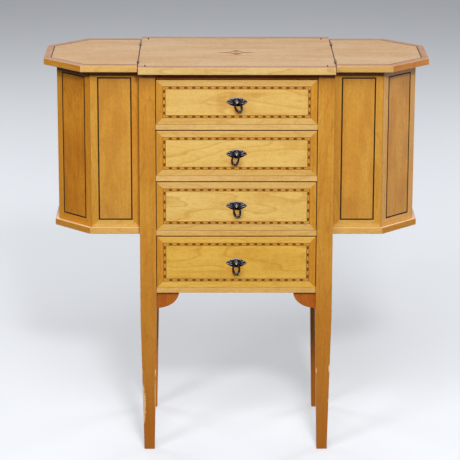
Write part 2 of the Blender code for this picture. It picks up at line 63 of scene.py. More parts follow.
# Stage and light
FLOOR_SIZE = 30.0
FLOOR_SEEN = (214, 217, 222)
FLOOR_BOUNCE = (50, 50, 54)
FLOOR_LIFT = 0.34  # keeps the floor pale away from the lamps
FLOOR_ROUGHNESS = 0.9
ROOM = (226, 232, 242)
ROOM_SEEN = 0.62
ROOM_LIGHT = 0.028
AIM = (0.0, 0.0, 0.45)
# Soft boxes: name, place, the point that each faces, width, height and power
LAMPS = (("key", (0.4, -3.75, 2.72), AIM, 0.5, 0.4, 90.0),
         ("overhead", (0.0, -2.4, 2.9), AIM, 1.6, 1.6, 53.0),
         ("fill", (-2.0, -2.8, 2.6), AIM, 1.0, 0.9, 41.0),
         ("right_panel", (2.0, -0.3, 0.55), (0.3, -0.1, 0.5), 1.2, 1.0, 6.5),
         ("back", (-0.2, 2.6, 3.0), AIM, 2.2, 1.4, 27.0),
         ("rear_left", (-2.8, 2.3, 1.2), AIM, 1.4, 1.4, 38.0),
         ("rear_right", (2.8, 2.3, 1.2), AIM, 1.4, 1.4, 38.0))

# Veneer and inlay
VENEER_PROUD = 0.00012  # veneer above the wood that it lies on
VENEER_BED = 0.00008  # veneer let into the wood
BLOCK_PROUD = 0.00018  # dark blocks and lines above the wood
EDGE_INSET = 0.0007  # edge veneer's border inside the softened edges

# Drawer fronts
CROSSBAND = 0.0120  # width of the mitred border
BANDING = 0.0054  # width of the chequered band inside it
BANDING_LINE = 0.0008  # dark line along each side of the band
BLOCK_PITCH = 0.0143
BLOCK_LENGTH = 0.0062
BLOCK_WIDTH = 0.0031
ROW_START = 0.0112  # middle of the band's corner to the first block of a row
COLUMN_START = 0.0067  # the same for a column

# Dovetails
PIN_PITCH = 0.022
PIN_LENGTH = 0.0078
PIN_ROOT = 0.0016  # half the width at the drawer front
PIN_TIP = 0.0031  # half the width behind

# Wing walls
MITRE_GAP = 0.0003  # a wall's end to the corner of the wing
WALL_STRING = 0.0026
WALL_STRING_INSET = 0.0138  # edge of a wall to the outer side of its string
SEAM = 0.0010  # dark joint between a wing and the leg beside it

# Top and lids
LID_STRING = 0.0018
LID_STRING_INSET = 0.0128
TOP_STRING = 0.0016
TOP_STRING_INSET = 0.0125
LID_CHAMFER = 0.0725  # cut-off corner of a lid
JOINT_REACH = 0.0015  # dark strip in the joint between the top and a lid, painted shade in the gap, out from the top's end
JOINT_DROP = 0.0016  # the strip's head below the top's face
LIPPING = 0.0010  # thickness of the strip under the top's front and rear edges
LIPPING_WIDTH = 0.0140
PATTERN_PLACE = (-0.0012, -0.006)  # middle of the star and of the lid rests from the cabinet's middle

# Star
STAR_REACH = 0.038  # middle of the star to the tip of a side spike
STAR_SPREAD = 0.009  # how soon the bell in the middle falls off to the spikes
STAR_HALF_DEPTH = 0.0172  # of the bell
STAR_ROOT = 0.0030  # half the thickness that the spikes would have in the middle
FIELD_REACH = 0.019  # middle of the star to the tip of the pale field inside the outline
FIELD_HALF_DEPTH = 0.0118
HEART_REACH = 0.0038  # half the width of the red lens inside the field
HEART_HALF_DEPTH = 0.0132
HEART_PROUD = 0.00024
STAR_STEPS = 48

# Lid rests
REST_INSET_X = 0.0140  # from the top's end to a lid rest
REST_INSET_Y = 0.0195
REST_RADIUS = 0.0014
REST_HEIGHT = 0.0026
REST_NECK = 0.8  # share of the radius inside the wood
REST_BELLY = 0.15  # share of the height at which a rest is widest
REST_SHOULDER = 0.4  # and at which its dome starts
REST_STEPS = 6
REST_SIDES = 20

# Chips on the front legs, and at -0.1537 a long pale line along the left leg's inner edge that is a painted
# highlight: place across, height, half width, half length, and how bare the wood is
CHIPS = ((-0.1772, 0.0890, 0.0058, 0.0450, 0.75), (-0.1786, 0.1580, 0.0020, 0.0075, 0.6),
         (-0.1520, 0.1550, 0.0024, 0.0090, 0.9), (-0.1537, 0.1120, 0.0013, 0.0340, 0.55),
         (0.1521, 0.1600, 0.0022, 0.0065, 0.8), (0.1786, 0.1635, 0.0028, 0.0100, 0.95),
         (0.1780, 0.1390, 0.0014, 0.0045, 0.5), (0.1772, 0.0990, 0.0024, 0.0045, 0.9))
CHIP_DEPTH = 0.1265  # chips lie farther forward than this
CHIP_START = 0.001  # depth over which they set in
CHIP_FILL = 0.72  # share of a chip's size inside which it is full
CHIP_RAG = (240.0, 0.2)  # how fine a chip's ragged border is, and how far it frays

# Painted shade on the legs
LEG_SHADE_START = 0.42  # height from which the legs turn darker
FOOT_SHADE = 0.75  # how far they turn darker towards the floor
INSIDE_SHADE = 0.85  # how dark their faces beside the drawers are
INSIDE_SKIN = (0.0005, 0.0001)  # depth under such a face at which its shade starts and is full
CLOSE_FIT = 0.30  # share of it at the lowest drawer's left end, which sits close to the leg

# Patina that hands have left around each pull, with the ring's painted shadow below it
PATINA_SHADOW_DROP = 0.016  # its middle below the pull's
PATINA_SHADOW_HALF_WIDTH = 0.021
PATINA_SHADOW_HALF_HEIGHT = 0.019
PATINA_SHADOW_SHARE = 0.46
PATINA_SHADOW_FILL = 0.1
PATINA_SHADOW_RAG = (120.0, 0.3)

# Painted shade on the edges of the drawer fronts, which the light hardly reaches, by depth behind the face: where
# it starts and where it is full
RIM_TONE_AND_SHADE = (0.00002, 0.0003)  # brown on the softened edges: the crossband's tone carried over them, and painted shade
RIM_TONE_AND_SHADE_SHARE = 0.9
EDGE_SHADE = (0.0004, 0.0012)  # painted shade, dark, on the faces behind them
EDGE_SHADE_END = (0.0036, 0.0052)  # here the painted shade on the edges ends

# Plates of the pulls
PLATE_HALF_WIDTH = 0.0195
PLATE_HALF_HEIGHT = 0.0085
PLATE_EDGE = 0.0007
PLATE_CROWN = 0.0016
PLATE_POWER = 4  # the higher, the steeper the plate's edges
PLATE_FADE = 0.002  # half height below which the relief fades out
PLATE_STEPS = 96
PLATE_ROWS = 40
FAN_START = 0.0072  # from the middle to the fluted ends
FAN_FADE = FAN_START / 4  # length over which the flutes set in
FAN_FOOT = -0.0045  # height of the point that the flutes spread from
FAN_PITCH = math.radians(19)
FAN_HEIGHT = 0.0013
CREST = 0.28  # the crests between the flutes take a painted highlight where the flutes are less deep
CREST_START = 0.0090  # and from here outwards
RIM_HIGHLIGHT_SHARE = 0.80  # the plate's upper rim takes a painted highlight from this share of its half height
LOWER_SHADE_SHARE = -0.55  # and its lower rim is painted black for shade up to here
HOOD_HALF_WIDTH = 0.0074
HOOD_HALF_HEIGHT = 0.0064
HOOD_RISE = 0.0008  # hood's middle above the plate's
HOOD_HEIGHT = 0.0036
HOOD_POWER = 0.5
MOUTH_TOP = -0.0012  # the hood is open below this height
MOUTH_HALF_WIDTH = 0.0056

# Eyes and rings of the pulls
EYE_MIDDLE = 0.0031  # middle of the eye's wall from the ring's axis
EYE_WALL = 0.0009
EYE_HALF_HEAD = 0.0042
EYE_HALF_FOOT = 0.0005
EYE_TAPER = 2.6  # the higher, the sooner the eye narrows below its head
EYE_SQUARENESS = 0.45  # the lower, the flatter the eye's faces
EYE_BRIGHT_TOP = 0.0033  # the eye takes a painted highlight from here, above its middle,
EYE_TIP_TOP = 0.0005  # brightest from here, a painted glint
EYE_TIP_FOOT = -0.0015  # down to here, and below it the eye is painted black for shade
EYE_STEPS = 32
EYE_SIDES = 20
RING_REACH = 0.007  # ring's axis ahead of the drawer front
RING_HALF_WIDTH = 0.0077
RING_FULLNESS = 0.72  # the lower, the fuller the ring's lower half
WIRE_RADIUS = 0.0016
WIRE_SWELL = 0.0007  # extra radius at the lowest point of the ring
RING_RUB_HIGHLIGHT = 0.75  # turn to each side of the lowest point where fingers have rubbed the ring and a highlight is painted
RUB_HIGHLIGHT_SPAN = math.radians(60)  # turn about the wire, to each side of the ring's inside, that they have rubbed and that takes the painted highlight
# How many degrees each ring hangs askew and its height over the wire, from the top drawer down
RING_HANGS = ((20.0, 0.0212), (-14.0, 0.0222), (8.0, 0.0228), (0.0, 0.0231))
RING_STEPS = 64
WIRE_SIDES = 16
MERGE = 0.000001
SMOOTH_ANGLE = math.radians(40)

# The irons of a pull's faces, and the place of each in its list: the mouth's black is painted shade, and the
# bright, tip and rim irons are painted highlights
PLATE_IRONS = ("black_iron", "mouth_shade_black", "highlight_iron", "tip_highlight_iron", "rim_highlight_iron")
SHADE_BLACK, BRIGHT_HIGHLIGHT, TIP_HIGHLIGHT, RIM_HIGHLIGHT = range(1, 5)
RING_IRONS = ("black_iron", "highlight_iron")
# faces of the ring rubbed by fingers and given a painted highlight
RUBBED_RING_HIGHLIGHT = 1

# Marks in a veneer: how close they lie along and across the grain, and their noise's detail and roughness
FIGURE = {"hills": (3.2, 17.0, 2.0, 0.42), "wobble": (24.0, 60.0, 2.0, 0.5),
          "mottle": (6.0, 19.0, 2.0, 0.5), "streak": (5.0, 240.0, 4.0, 0.6),
          "fibre": (45.0, 1700.0, 2.0, 0.5), "flake": (110.0, 300.0, 2.0, 0.5),
          "speckle": (430.0, 430.0, 2.0, 0.5), "ripple": (85.0, 16.0, 2.0, 0.5),
          "drift": (13.0, 34.0, 1.0, 0.5)}
# Noise at which each of them starts and is full
SPANS = {"tone": (0.34, 0.66), "deeper": (0.50, 0.68), "lighter": (0.50, 0.32), "ripple": (0.46, 0.72),
         "flake": (0.44, 0.70), "speckle": (0.40, 0.68), "fibre": (0.52, 0.74)}
WOBBLE = 0.4  # how far the growth lines waver, in their own distance
LINE_START = 0.70  # a growth line starts at this share of that distance
LINE_PEAK = 0.93
LINE_BODY = 0.3  # how far the wood between two lines darkens towards the next
MOTTLE = 0.55  # share of the mottle in the ground tone, beside the streaks
FLECKS = 0.22  # how dark flakes and speckles are
FIBRE_RELIEF = 0.6  # share of the fibres in the relief, beside the streaks
GLOSS_CHANGE = (0.3, 0.7, -0.05, 0.06)  # from a pale to a dark ground, and the roughness that each adds
FRAY_NOISE = (3.0, 0.6)  # detail and roughness of the noise that frays a spot
NOISE_RANGE = (0.3, 0.7)  # where most of a noise lies

# Rubbed edges, which on the top, lids and wing floors are also painted highlights, and old metal
EDGE_BEND = (0.995, 0.86)  # how far an edge turns away where its edge tone starts and where it is full
EDGE_NOISE = (70.0, 4.0, 0.6)
EDGE_SPAN = (0.40, 0.66)
WOOD_EDGE_WIDTH = 0.0012
METAL_WEAR_WIDTH = 0.0005
CLOUDS = (260.0, 4.0, 0.6)
CLOUD_SPAN = (0.42, 0.68)
CLOUD_GLOSS = (0.3, 0.7, -0.08, 0.12)  # from thin to thick tarnish, and the roughness that each adds
PITS = (1900.0, 2.0)
PIT_RELIEF = 0.5  # share of the pits in the relief, beside the clouds
COAT_ROUGHNESS = 0.22
WOOD_RELIEF = (0.0002, 0.25)  # depth and strength
METAL_RELIEF = (0.0001, 0.3)


# Node helpers

def feed(tree, socket, value):
    """Link a socket to another node's output, or set it to a constant."""
    if isinstance(value, bpy.types.NodeSocket):
        tree.links.new(value, socket)
    else:
        socket.default_value = value


def add(tree, kind, values=(), **settings):
    """Add a node with its settings and its first input values."""
    node = tree.nodes.new(kind)
    for name, setting in settings.items():
        setattr(node, name, setting)
    for socket, value in zip(node.inputs, values):
        feed(tree, socket, value)
    return node


def sums(tree, operation, first, second=0.5):
    """Add a Math node and give its output."""
    return add(tree, "ShaderNodeMath", (first, second), operation=operation).outputs[0]


def weigh(tree, *shares):
    """Add two values, each times its share."""
    first, second = (sums(tree, "MULTIPLY", value, share) for value, share in shares)
    return sums(tree, "ADD", first, second)


def stretch(tree, vector, scale):
    """Scale a vector along its three axes."""
    return add(tree, "ShaderNodeVectorMath", (vector, scale), operation="MULTIPLY").outputs[0]


def noise(tree, vector, scale, detail=2.0, roughness=0.5):
    """Add a noise texture and give its value."""
    node = add(tree, "ShaderNodeTexNoise")
    values = (("Vector", vector), ("Scale", scale), ("Detail", detail), ("Roughness", roughness))
    for label, value in values:
        feed(tree, node.inputs[label], value)
    return node.outputs[0]


def ramp(tree, value, low, high, start=0.0, end=1.0, way="SMOOTHSTEP"):
    """Carry a value from one range to another with easy ends, held at both."""
    return add(tree, "ShaderNodeMapRange", (value, low, high, start, end), interpolation_type=way).outputs[0]


def ramp_linear(tree, value, low, high, start, end):
    """Carry a value from one range to another in a straight line, held at both ends."""
    return ramp(tree, value, low, high, start, end, "LINEAR")


def blend(tree, share, first, second):
    """Mix two colours by a share."""
    node = add(tree, "ShaderNodeMix", data_type="RGBA")
    for index, value in ((0, share), (6, first), (7, second)):
        feed(tree, node.inputs[index], value)
    return node.outputs[2]


def new_sockets(tree, way, sockets):
    """Give a tree its named sockets."""
    for label, kind in sockets:
        tree.interface.new_socket(label, in_out=way, socket_type=f"NodeSocket{kind}")


def open_tree(tree):
    """Give a tree's input sockets by name."""
    entry = tree.nodes.new("NodeGroupInput")
    return {socket.name: socket for socket in entry.outputs if socket.name}


def new_group(name, inputs, outputs):
    """Start a shader group with named sockets, and give its tree and its input sockets by name."""
    tree = bpy.data.node_groups.new(name, "ShaderNodeTree")
    new_sockets(tree, "INPUT", inputs)
    new_sockets(tree, "OUTPUT", outputs)
    return tree, open_tree(tree)


def close_group(tree, results):
    """Link the results to the group's outputs."""
    leave = tree.nodes.new("NodeGroupOutput")
    for label, value in results.items():
        tree.links.new(value, leave.inputs[label])
    return tree


def use_group(tree, group, values):
    """Place a group in a tree, with its inputs by name."""
    node = tree.nodes.new("ShaderNodeGroup")
    node.node_tree = group
    for label, value in values.items():
        feed(tree, node.inputs[label], value)
    return node.outputs


def colour(red, green, blue):
    """Turn a colour of 0 to 255 as seen on screen into the linear one that shaders use."""
    linear = []
    for part in (red, green, blue):
        share = part / 255
        linear.append(share / 12.92 if share <= 0.04045 else ((share + 0.055) / 1.055) ** 2.4)
    return (*linear, 1.0)


# Shared surface effects

SURFACE = [("Color", "Color"), ("Roughness", "Float"), ("Height", "Float")]


def make_wood_figure():
    """Figure of a plain-sawn veneer, with the grain along X: growth lines, streaks, ripple and pores."""
    inputs = [("Vector", "Vector"), ("Pale", "Color"), ("Mid", "Color"), ("Dark", "Color")]
    inputs += [(label, "Float") for label in ("Rings", "Lines", "Ripple", "Drift", "Pores", "Gloss")]
    tree, given = new_group("wood_figure", inputs, SURFACE)
    marks = {}
    for name, (along, across, detail, roughness) in FIGURE.items():
        place = stretch(tree, given["Vector"], (along, across, across))
        marks[name] = noise(tree, place, 1.0, detail, roughness)
    saw = sums(tree, "FRACT", weigh(tree, (marks["hills"], given["Rings"]), (marks["wobble"], WOBBLE)))
    rise = ramp(tree, saw, LINE_START, LINE_PEAK)
    thin = sums(tree, "MULTIPLY", rise, ramp(tree, saw, LINE_PEAK, 1.0, 1.0, 0.0))
    line = sums(tree, "MAXIMUM", thin, ramp(tree, saw, 0.0, LINE_PEAK, 0.0, LINE_BODY))
    tone = weigh(tree, (marks["mottle"], MOTTLE), (marks["streak"], 1 - MOTTLE))
    shade = blend(tree, ramp(tree, tone, *SPANS["tone"]), given["Pale"], given["Mid"])
    for way, tint in (("deeper", "Dark"), ("lighter", "Pale")):
        shade = blend(tree, ramp(tree, marks["drift"], *SPANS[way], 0.0, given["Drift"]), shade, given[tint])
    shade = blend(tree, sums(tree, "MULTIPLY", line, given["Lines"]), shade, given["Dark"])
    overlays = (("ripple", given["Ripple"], "Pale"), ("flake", FLECKS, "Dark"), ("speckle", FLECKS, "Dark"),
                ("fibre", given["Pores"], "Dark"))
    for mark, share, tint in overlays:
        shade = blend(tree, ramp(tree, marks[mark], *SPANS[mark], 0.0, share), shade, given[tint])
    rough = sums(tree, "ADD", given["Gloss"], ramp(tree, tone, *GLOSS_CHANGE))
    height = weigh(tree, (marks["fibre"], FIBRE_RELIEF), (marks["streak"], 1 - FIBRE_RELIEF))
    return close_group(tree, {"Color": shade, "Roughness": rough, "Height": height})


def make_rubbed_and_highlit_edges():
    """Mask of the edges that hands and dusters have rubbed, and that take painted highlights on the top, lids and
    wing floors, broken up by noise.
    """
    tree, given = new_group("rubbed_and_highlit_edges", [("Vector", "Vector"), ("Width", "Float")], [("Mask", "Float")])
    rounded = add(tree, "ShaderNodeBevel", (given["Width"],), samples=4)
    surface = add(tree, "ShaderNodeNewGeometry")
    both = add(tree, "ShaderNodeVectorMath", (rounded.outputs[0], surface.outputs["Normal"]),
               operation="DOT_PRODUCT").outputs["Value"]
    patches = ramp(tree, noise(tree, given["Vector"], *EDGE_NOISE), *EDGE_SPAN)
    return close_group(tree, {"Mask": sums(tree, "MULTIPLY", ramp(tree, both, *EDGE_BEND), patches)})


def make_old_metal():
    """Blackened metal with cloudy tarnish and fine pits."""
    inputs = [("Vector", "Vector"), ("Dark", "Color"), ("Bright", "Color"), ("Gloss", "Float")]
    tree, given = new_group("old_metal", inputs, SURFACE)
    clouds = noise(tree, given["Vector"], *CLOUDS)
    pits = noise(tree, given["Vector"], *PITS)
    shade = blend(tree, ramp(tree, clouds, *CLOUD_SPAN), given["Dark"], given["Bright"])
    rough = sums(tree, "ADD", given["Gloss"], ramp(tree, clouds, *CLOUD_GLOSS))
    height = weigh(tree, (clouds, 1 - PIT_RELIEF), (pits, PIT_RELIEF))
    return close_group(tree, {"Color": shade, "Roughness": rough, "Height": height})


WOOD_FIGURE = make_wood_figure()
RUBBED_AND_HIGHLIT_EDGES = make_rubbed_and_highlit_edges()
OLD_METAL = make_old_metal()

# How the object's coordinates turn so that the grain runs along X
GRAIN_TURN = {"X": (0.0, 0.0, 0.0), "Y": (0.0, 0.0, -math.pi / 2), "Z": (0.0, math.pi / 2, 0.0)}


def object_place(tree):
    """Give a place on the object, as a vector and as its parts."""
    place = add(tree, "ShaderNodeTexCoord").outputs["Object"]
    return place, add(tree, "ShaderNodeSeparateXYZ", (place,)).outputs


def start_material(name, grain="X", shift=(0.0, 0.0, 0.0)):
    """Make a material; give its tree, its shader and the grain's vector, of the strip's map or the object."""
    material = bpy.data.materials.new(name)
    material.use_nodes = True
    tree = material.node_tree
    if grain == "strip":
        vector = add(tree, "ShaderNodeUVMap", uv_map="grain").outputs[0]
    else:
        place = add(tree, "ShaderNodeTexCoord").outputs["Object"]
        vector = add(tree, "ShaderNodeMapping", (place, shift, GRAIN_TURN[grain])).outputs[0]
    return material, tree, tree.nodes["Principled BSDF"], vector


def rub_and_highlight_edges(tree, vector, width, shade, edge_tone, edge_share):
    """Give the edges of a surface another colour: rubbed wear, and on the top, lids and wing floors a painted
    highlight.
    """
    mask = use_group(tree, RUBBED_AND_HIGHLIT_EDGES, {"Vector": vector, "Width": width})["Mask"]
    return blend(tree, sums(tree, "MULTIPLY", mask, edge_share), shade, colour(*edge_tone))


def set_surface(tree, shader, shade, surface, relief, values):
    """Link a surface's colour, roughness and fine relief to its shader, and set the shader's other values."""
    bump = add(tree, "ShaderNodeBump")
    for label, value in zip(("Distance", "Strength"), relief):
        bump.inputs[label].default_value = value
    tree.links.new(surface["Height"], bump.inputs["Height"])
    tree.links.new(bump.outputs[0], shader.inputs["Normal"])
    tree.links.new(shade, shader.inputs["Base Color"])
    tree.links.new(surface["Roughness"], shader.inputs["Roughness"])
    for label, value in values.items():
        shader.inputs[label].default_value = value


def wood(name, pale, mid, dark, grain="X", shift=(0.0, 0.0, 0.0), rings=7.0, lines=0.3, ripple=0.25,
         drift=0.0, pores=0.2, gloss=0.40, coat=0.05, shine=0.3, edge_tone=None, edge_share=0.0, extra=None):
    """Make a varnished veneer whose edges take another colour, rubbed wear and on the top, lids and wing floors a
    painted highlight; extra adds marks of its own.
    """
    material, tree, shader, vector = start_material(name, grain, shift)
    figure = use_group(tree, WOOD_FIGURE, {
        "Vector": vector, "Pale": colour(*pale), "Mid": colour(*mid), "Dark": colour(*dark), "Rings": rings,
        "Lines": lines, "Ripple": ripple, "Drift": drift, "Pores": pores, "Gloss": gloss,
    })
    shade = figure["Color"]
    if edge_tone is not None:
        shade = rub_and_highlight_edges(tree, vector, WOOD_EDGE_WIDTH, shade, edge_tone, edge_share)
    if extra is not None:
        shade = extra(tree, shade)
    values = {"Specular IOR Level": shine, "Coat Weight": coat, "Coat Roughness": COAT_ROUGHNESS}
    set_surface(tree, shader, shade, figure, WOOD_RELIEF, values)
    return material


def metal(name, dark, bright, gloss, edge_tone, edge_share, metallic):
    """Make an old metal finish whose edges are rubbed bright."""
    material, tree, shader, vector = start_material(name)
    values = {"Vector": vector, "Dark": colour(*dark), "Bright": colour(*bright), "Gloss": gloss}
    surface = use_group(tree, OLD_METAL, values)
    shade = rub_and_highlight_edges(tree, vector, METAL_WEAR_WIDTH, surface["Color"], edge_tone, edge_share)
    set_surface(tree, shader, shade, surface, METAL_RELIEF, {"Metallic": metallic})
    return material


def darken(*bands):
    """Make painted shade on a wood by height, and painted light where the tone is paler: where each starts, where
    it is full, its share and tone.
    """
    def marks(tree, shade):
        height = object_place(tree)[1]["Z"]
        for start, full, share, tone in bands:
            shade = blend(tree, ramp_linear(tree, height, start, full, 0.0, share), shade, colour(*tone))
        return shade
    return marks


def ragged_spots(tree, place, spots, rag, fill):
    """Give masks of ragged oval spots in the XZ plane: middle, half width, half height and share of each."""
    fineness, depth = rag
    fray = ramp_linear(tree, noise(tree, place, fineness, *FRAY_NOISE), *NOISE_RANGE, -depth, depth)
    masks = []
    for middle, half_width, half_height, share in spots:
        off = add(tree, "ShaderNodeVectorMath", (place, middle), operation="SUBTRACT").outputs[0]
        off = stretch(tree, off, (1 / half_width, 0.0, 1 / half_height))
        reach = add(tree, "ShaderNodeVectorMath", (off,), operation="LENGTH").outputs["Value"]
        masks.append(ramp(tree, sums(tree, "ADD", reach, fray), 1.0, fill, 0.0, share))
    return masks


def leg_marks(tree, shade):
    """Paint shade on the legs towards the floor, beside the drawers and under the top, and light on the rear
    legs' feet; chip the front legs' varnish, with one painted highlight among the chips.
    """
    place, parts = object_place(tree)
    low = ramp_linear(tree, parts["Z"], 0.0, LEG_SHADE_START, FOOT_SHADE, 0.0)
    shade = blend(tree, low, shade, colour(*FOOT_SHADE_HONEY))
    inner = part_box("leg_front_right")[0].x
    start, full = INSIDE_SKIN
    inside = ramp(tree, sums(tree, "ABSOLUTE", parts["X"]), inner + start, inner + full, 0.0, INSIDE_SHADE)
    beside = ramp(tree, parts["Z"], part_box("bottom_board")[0].z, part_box("bottom_board")[1].z)
    fit = ramp(tree, parts["Z"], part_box("drawer_4_front")[1].z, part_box("drawer_2_front")[0].z, CLOSE_FIT, 1.0)
    fit = sums(tree, "MAXIMUM", fit, sums(tree, "GREATER_THAN", parts["X"], 0.0))
    gap = sums(tree, "MULTIPLY", sums(tree, "MULTIPLY", inside, beside), fit)
    shade = blend(tree, gap, shade, colour(*EDGE_SHADE_BROWN))
    # front legs take painted shade under the top, and the rear legs painted light on their feet instead
    front_half = sums(tree, "LESS_THAN", parts["Y"], 0.0)
    shade = blend(tree, front_half, darken(REAR_FOOT_LIGHT)(tree, shade), darken(LEG_SHADE, LEG_GLOOM)(tree, shade))
    front = ramp(tree, parts["Y"], -CHIP_DEPTH, -CHIP_DEPTH - CHIP_START)
    spots = [((across, 0.0, height), *sizes) for across, height, *sizes in CHIPS]
    for mask in ragged_spots(tree, place, spots, CHIP_RAG, CHIP_FILL):
        shade = blend(tree, sums(tree, "MULTIPLY", mask, front), shade, colour(*CHIPPED_AND_HIGHLIT))
    return shade


def pull_place(number):
    """Give the middle of a drawer's pull, across and up."""
    low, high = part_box(f"pull_{number}_plate")
    return (low.x + high.x) / 2, (low.z + high.z) / 2


def drawer_marks(tree, shade):
    """Paint shade on the drawer fronts under the top and on their edges, which the light hardly reaches, and lay
    patina with the rings' painted shadow around the pulls.
    """
    place, parts = object_place(tree)
    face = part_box("drawer_1_front")[0].y

    def behind(span, share=1.0):
        return ramp(tree, parts["Y"], face + span[0], face + span[1], 0.0, share)

    under_top_shade = darken(DRAWER_SHADE)(tree, shade)
    shade = blend(tree, behind(RIM_TONE_AND_SHADE, RIM_TONE_AND_SHADE_SHARE), under_top_shade, colour(*RIM_BROWN))
    shade = blend(tree, behind(EDGE_SHADE), shade, colour(*EDGE_SHADE_BROWN))
    shade = blend(tree, behind(EDGE_SHADE_END), shade, under_top_shade)
    spots = []
    for number in DRAWERS:
        across, height = pull_place(number)
        middle = (across, 0.0, height - PATINA_SHADOW_DROP)
        spots.append((middle, PATINA_SHADOW_HALF_WIDTH, PATINA_SHADOW_HALF_HEIGHT, PATINA_SHADOW_SHARE))
    for mask in ragged_spots(tree, place, spots, PATINA_SHADOW_RAG, PATINA_SHADOW_FILL):
        shade = blend(tree, mask, shade, colour(*PATINA_AND_SHADOW))
    return shade


# Tones of the marks: worn edges, chips and patina, and painted shade, light and highlights
FOOT_SHADE_HONEY = (166, 88, 20)
FOOT_LIGHT_AMBER = (214, 124, 39)
RUBBED = (228, 182, 100)
# the next two: the rubbed edges of the wing floors and of the top and lids, made paler as painted highlights
RUBBED_LEDGE_HIGHLIGHT = (250, 214, 160)
RUBBED_SATIN_HIGHLIGHT = (247, 216, 174)
CHIPPED_AND_HIGHLIT = (238, 204, 160)
EDGE_SHADE_BROWN = (112, 34, 6)
RIM_BROWN = (150, 84, 26)
SHADE_BROWN = (96, 44, 12)
GLOOM_BROWN = (110, 42, 10)
DRAWER_BROWN = (176, 112, 44)
PATINA_AND_SHADOW = (206, 130, 40)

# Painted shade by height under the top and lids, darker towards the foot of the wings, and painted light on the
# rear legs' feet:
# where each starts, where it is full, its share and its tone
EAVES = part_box("centre_top")[0].z
WALL_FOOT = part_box("wing_left_front")[0].z
LEG_SHADE = (EAVES - 0.046, EAVES - 0.010, 0.32, SHADE_BROWN)
LEG_GLOOM = (EAVES - 0.0125, EAVES - 0.0082, 0.90, GLOOM_BROWN)
WALL_SHADE = (EAVES - 0.078, EAVES - 0.016, 0.17, SHADE_BROWN)
WALL_GLOOM = (EAVES - 0.0112, EAVES - 0.0088, 0.72, GLOOM_BROWN)
LEFT_GLOOM = (EAVES - 0.0160, EAVES - 0.0100, 0.80, GLOOM_BROWN)
RIGHT_GLOOM = (EAVES - 0.0160, EAVES - 0.0100, 0.45, GLOOM_BROWN)
DRAWER_SHADE = (EAVES - 0.118, EAVES - 0.014, 0.20, DRAWER_BROWN)
FOOT_GLOOM = (WALL_FOOT + 0.078, WALL_FOOT, 0.15, SHADE_BROWN)
REAR_FOOT_LIGHT = (0.150, 0.100, 0.90, FOOT_LIGHT_AMBER)

# Pale, mid and dark tones that more than one wood has
HONEY = ((212, 154, 58), (196, 132, 40), (160, 92, 22))
CORN = ((232, 188, 86), (222, 172, 67), (190, 128, 36))
# the next two, of the top, lids, strings and star, are paler and bluer than their woods: painted sheen in place
# of the varnish's reflection
SATIN = ((228, 195, 154), (216, 175, 130), (183, 133, 94))
PLUM = ((128, 84, 82), (113, 73, 73), (90, 62, 63))

# What sets groups of woods apart from a plain varnished veneer
STRIP = dict(grain="strip", rings=12.0)
UPRIGHT = dict(grain="Z", rings=9.0)
WALL = dict(grain="Z", shift=(0.1, 0.4, 0.2), rings=8.0, lines=0.22, ripple=0.12, drift=0.28,
            edge_tone=RUBBED, edge_share=0.4)
FIELD = dict(rings=10.0, lines=0.5, ripple=0.3, drift=0.34, pores=0.10, shine=0.15, extra=drawer_marks)
RAIL = dict(rings=9.0, lines=0.25, edge_tone=RUBBED, edge_share=0.4)
# low shine: the tones of the top, the lids, their crossbands, strings and the star carry the varnish's sheen
# painted in
DULL = dict(gloss=0.50, coat=0.0, shine=0.04)
BOARD = dict(DULL, rings=9.0, lines=0.25, edge_tone=RUBBED_SATIN_HIGHLIGHT, edge_share=0.8)
PINE = dict(rings=14.0, lines=0.5, ripple=0.1, gloss=0.62, coat=0.0)

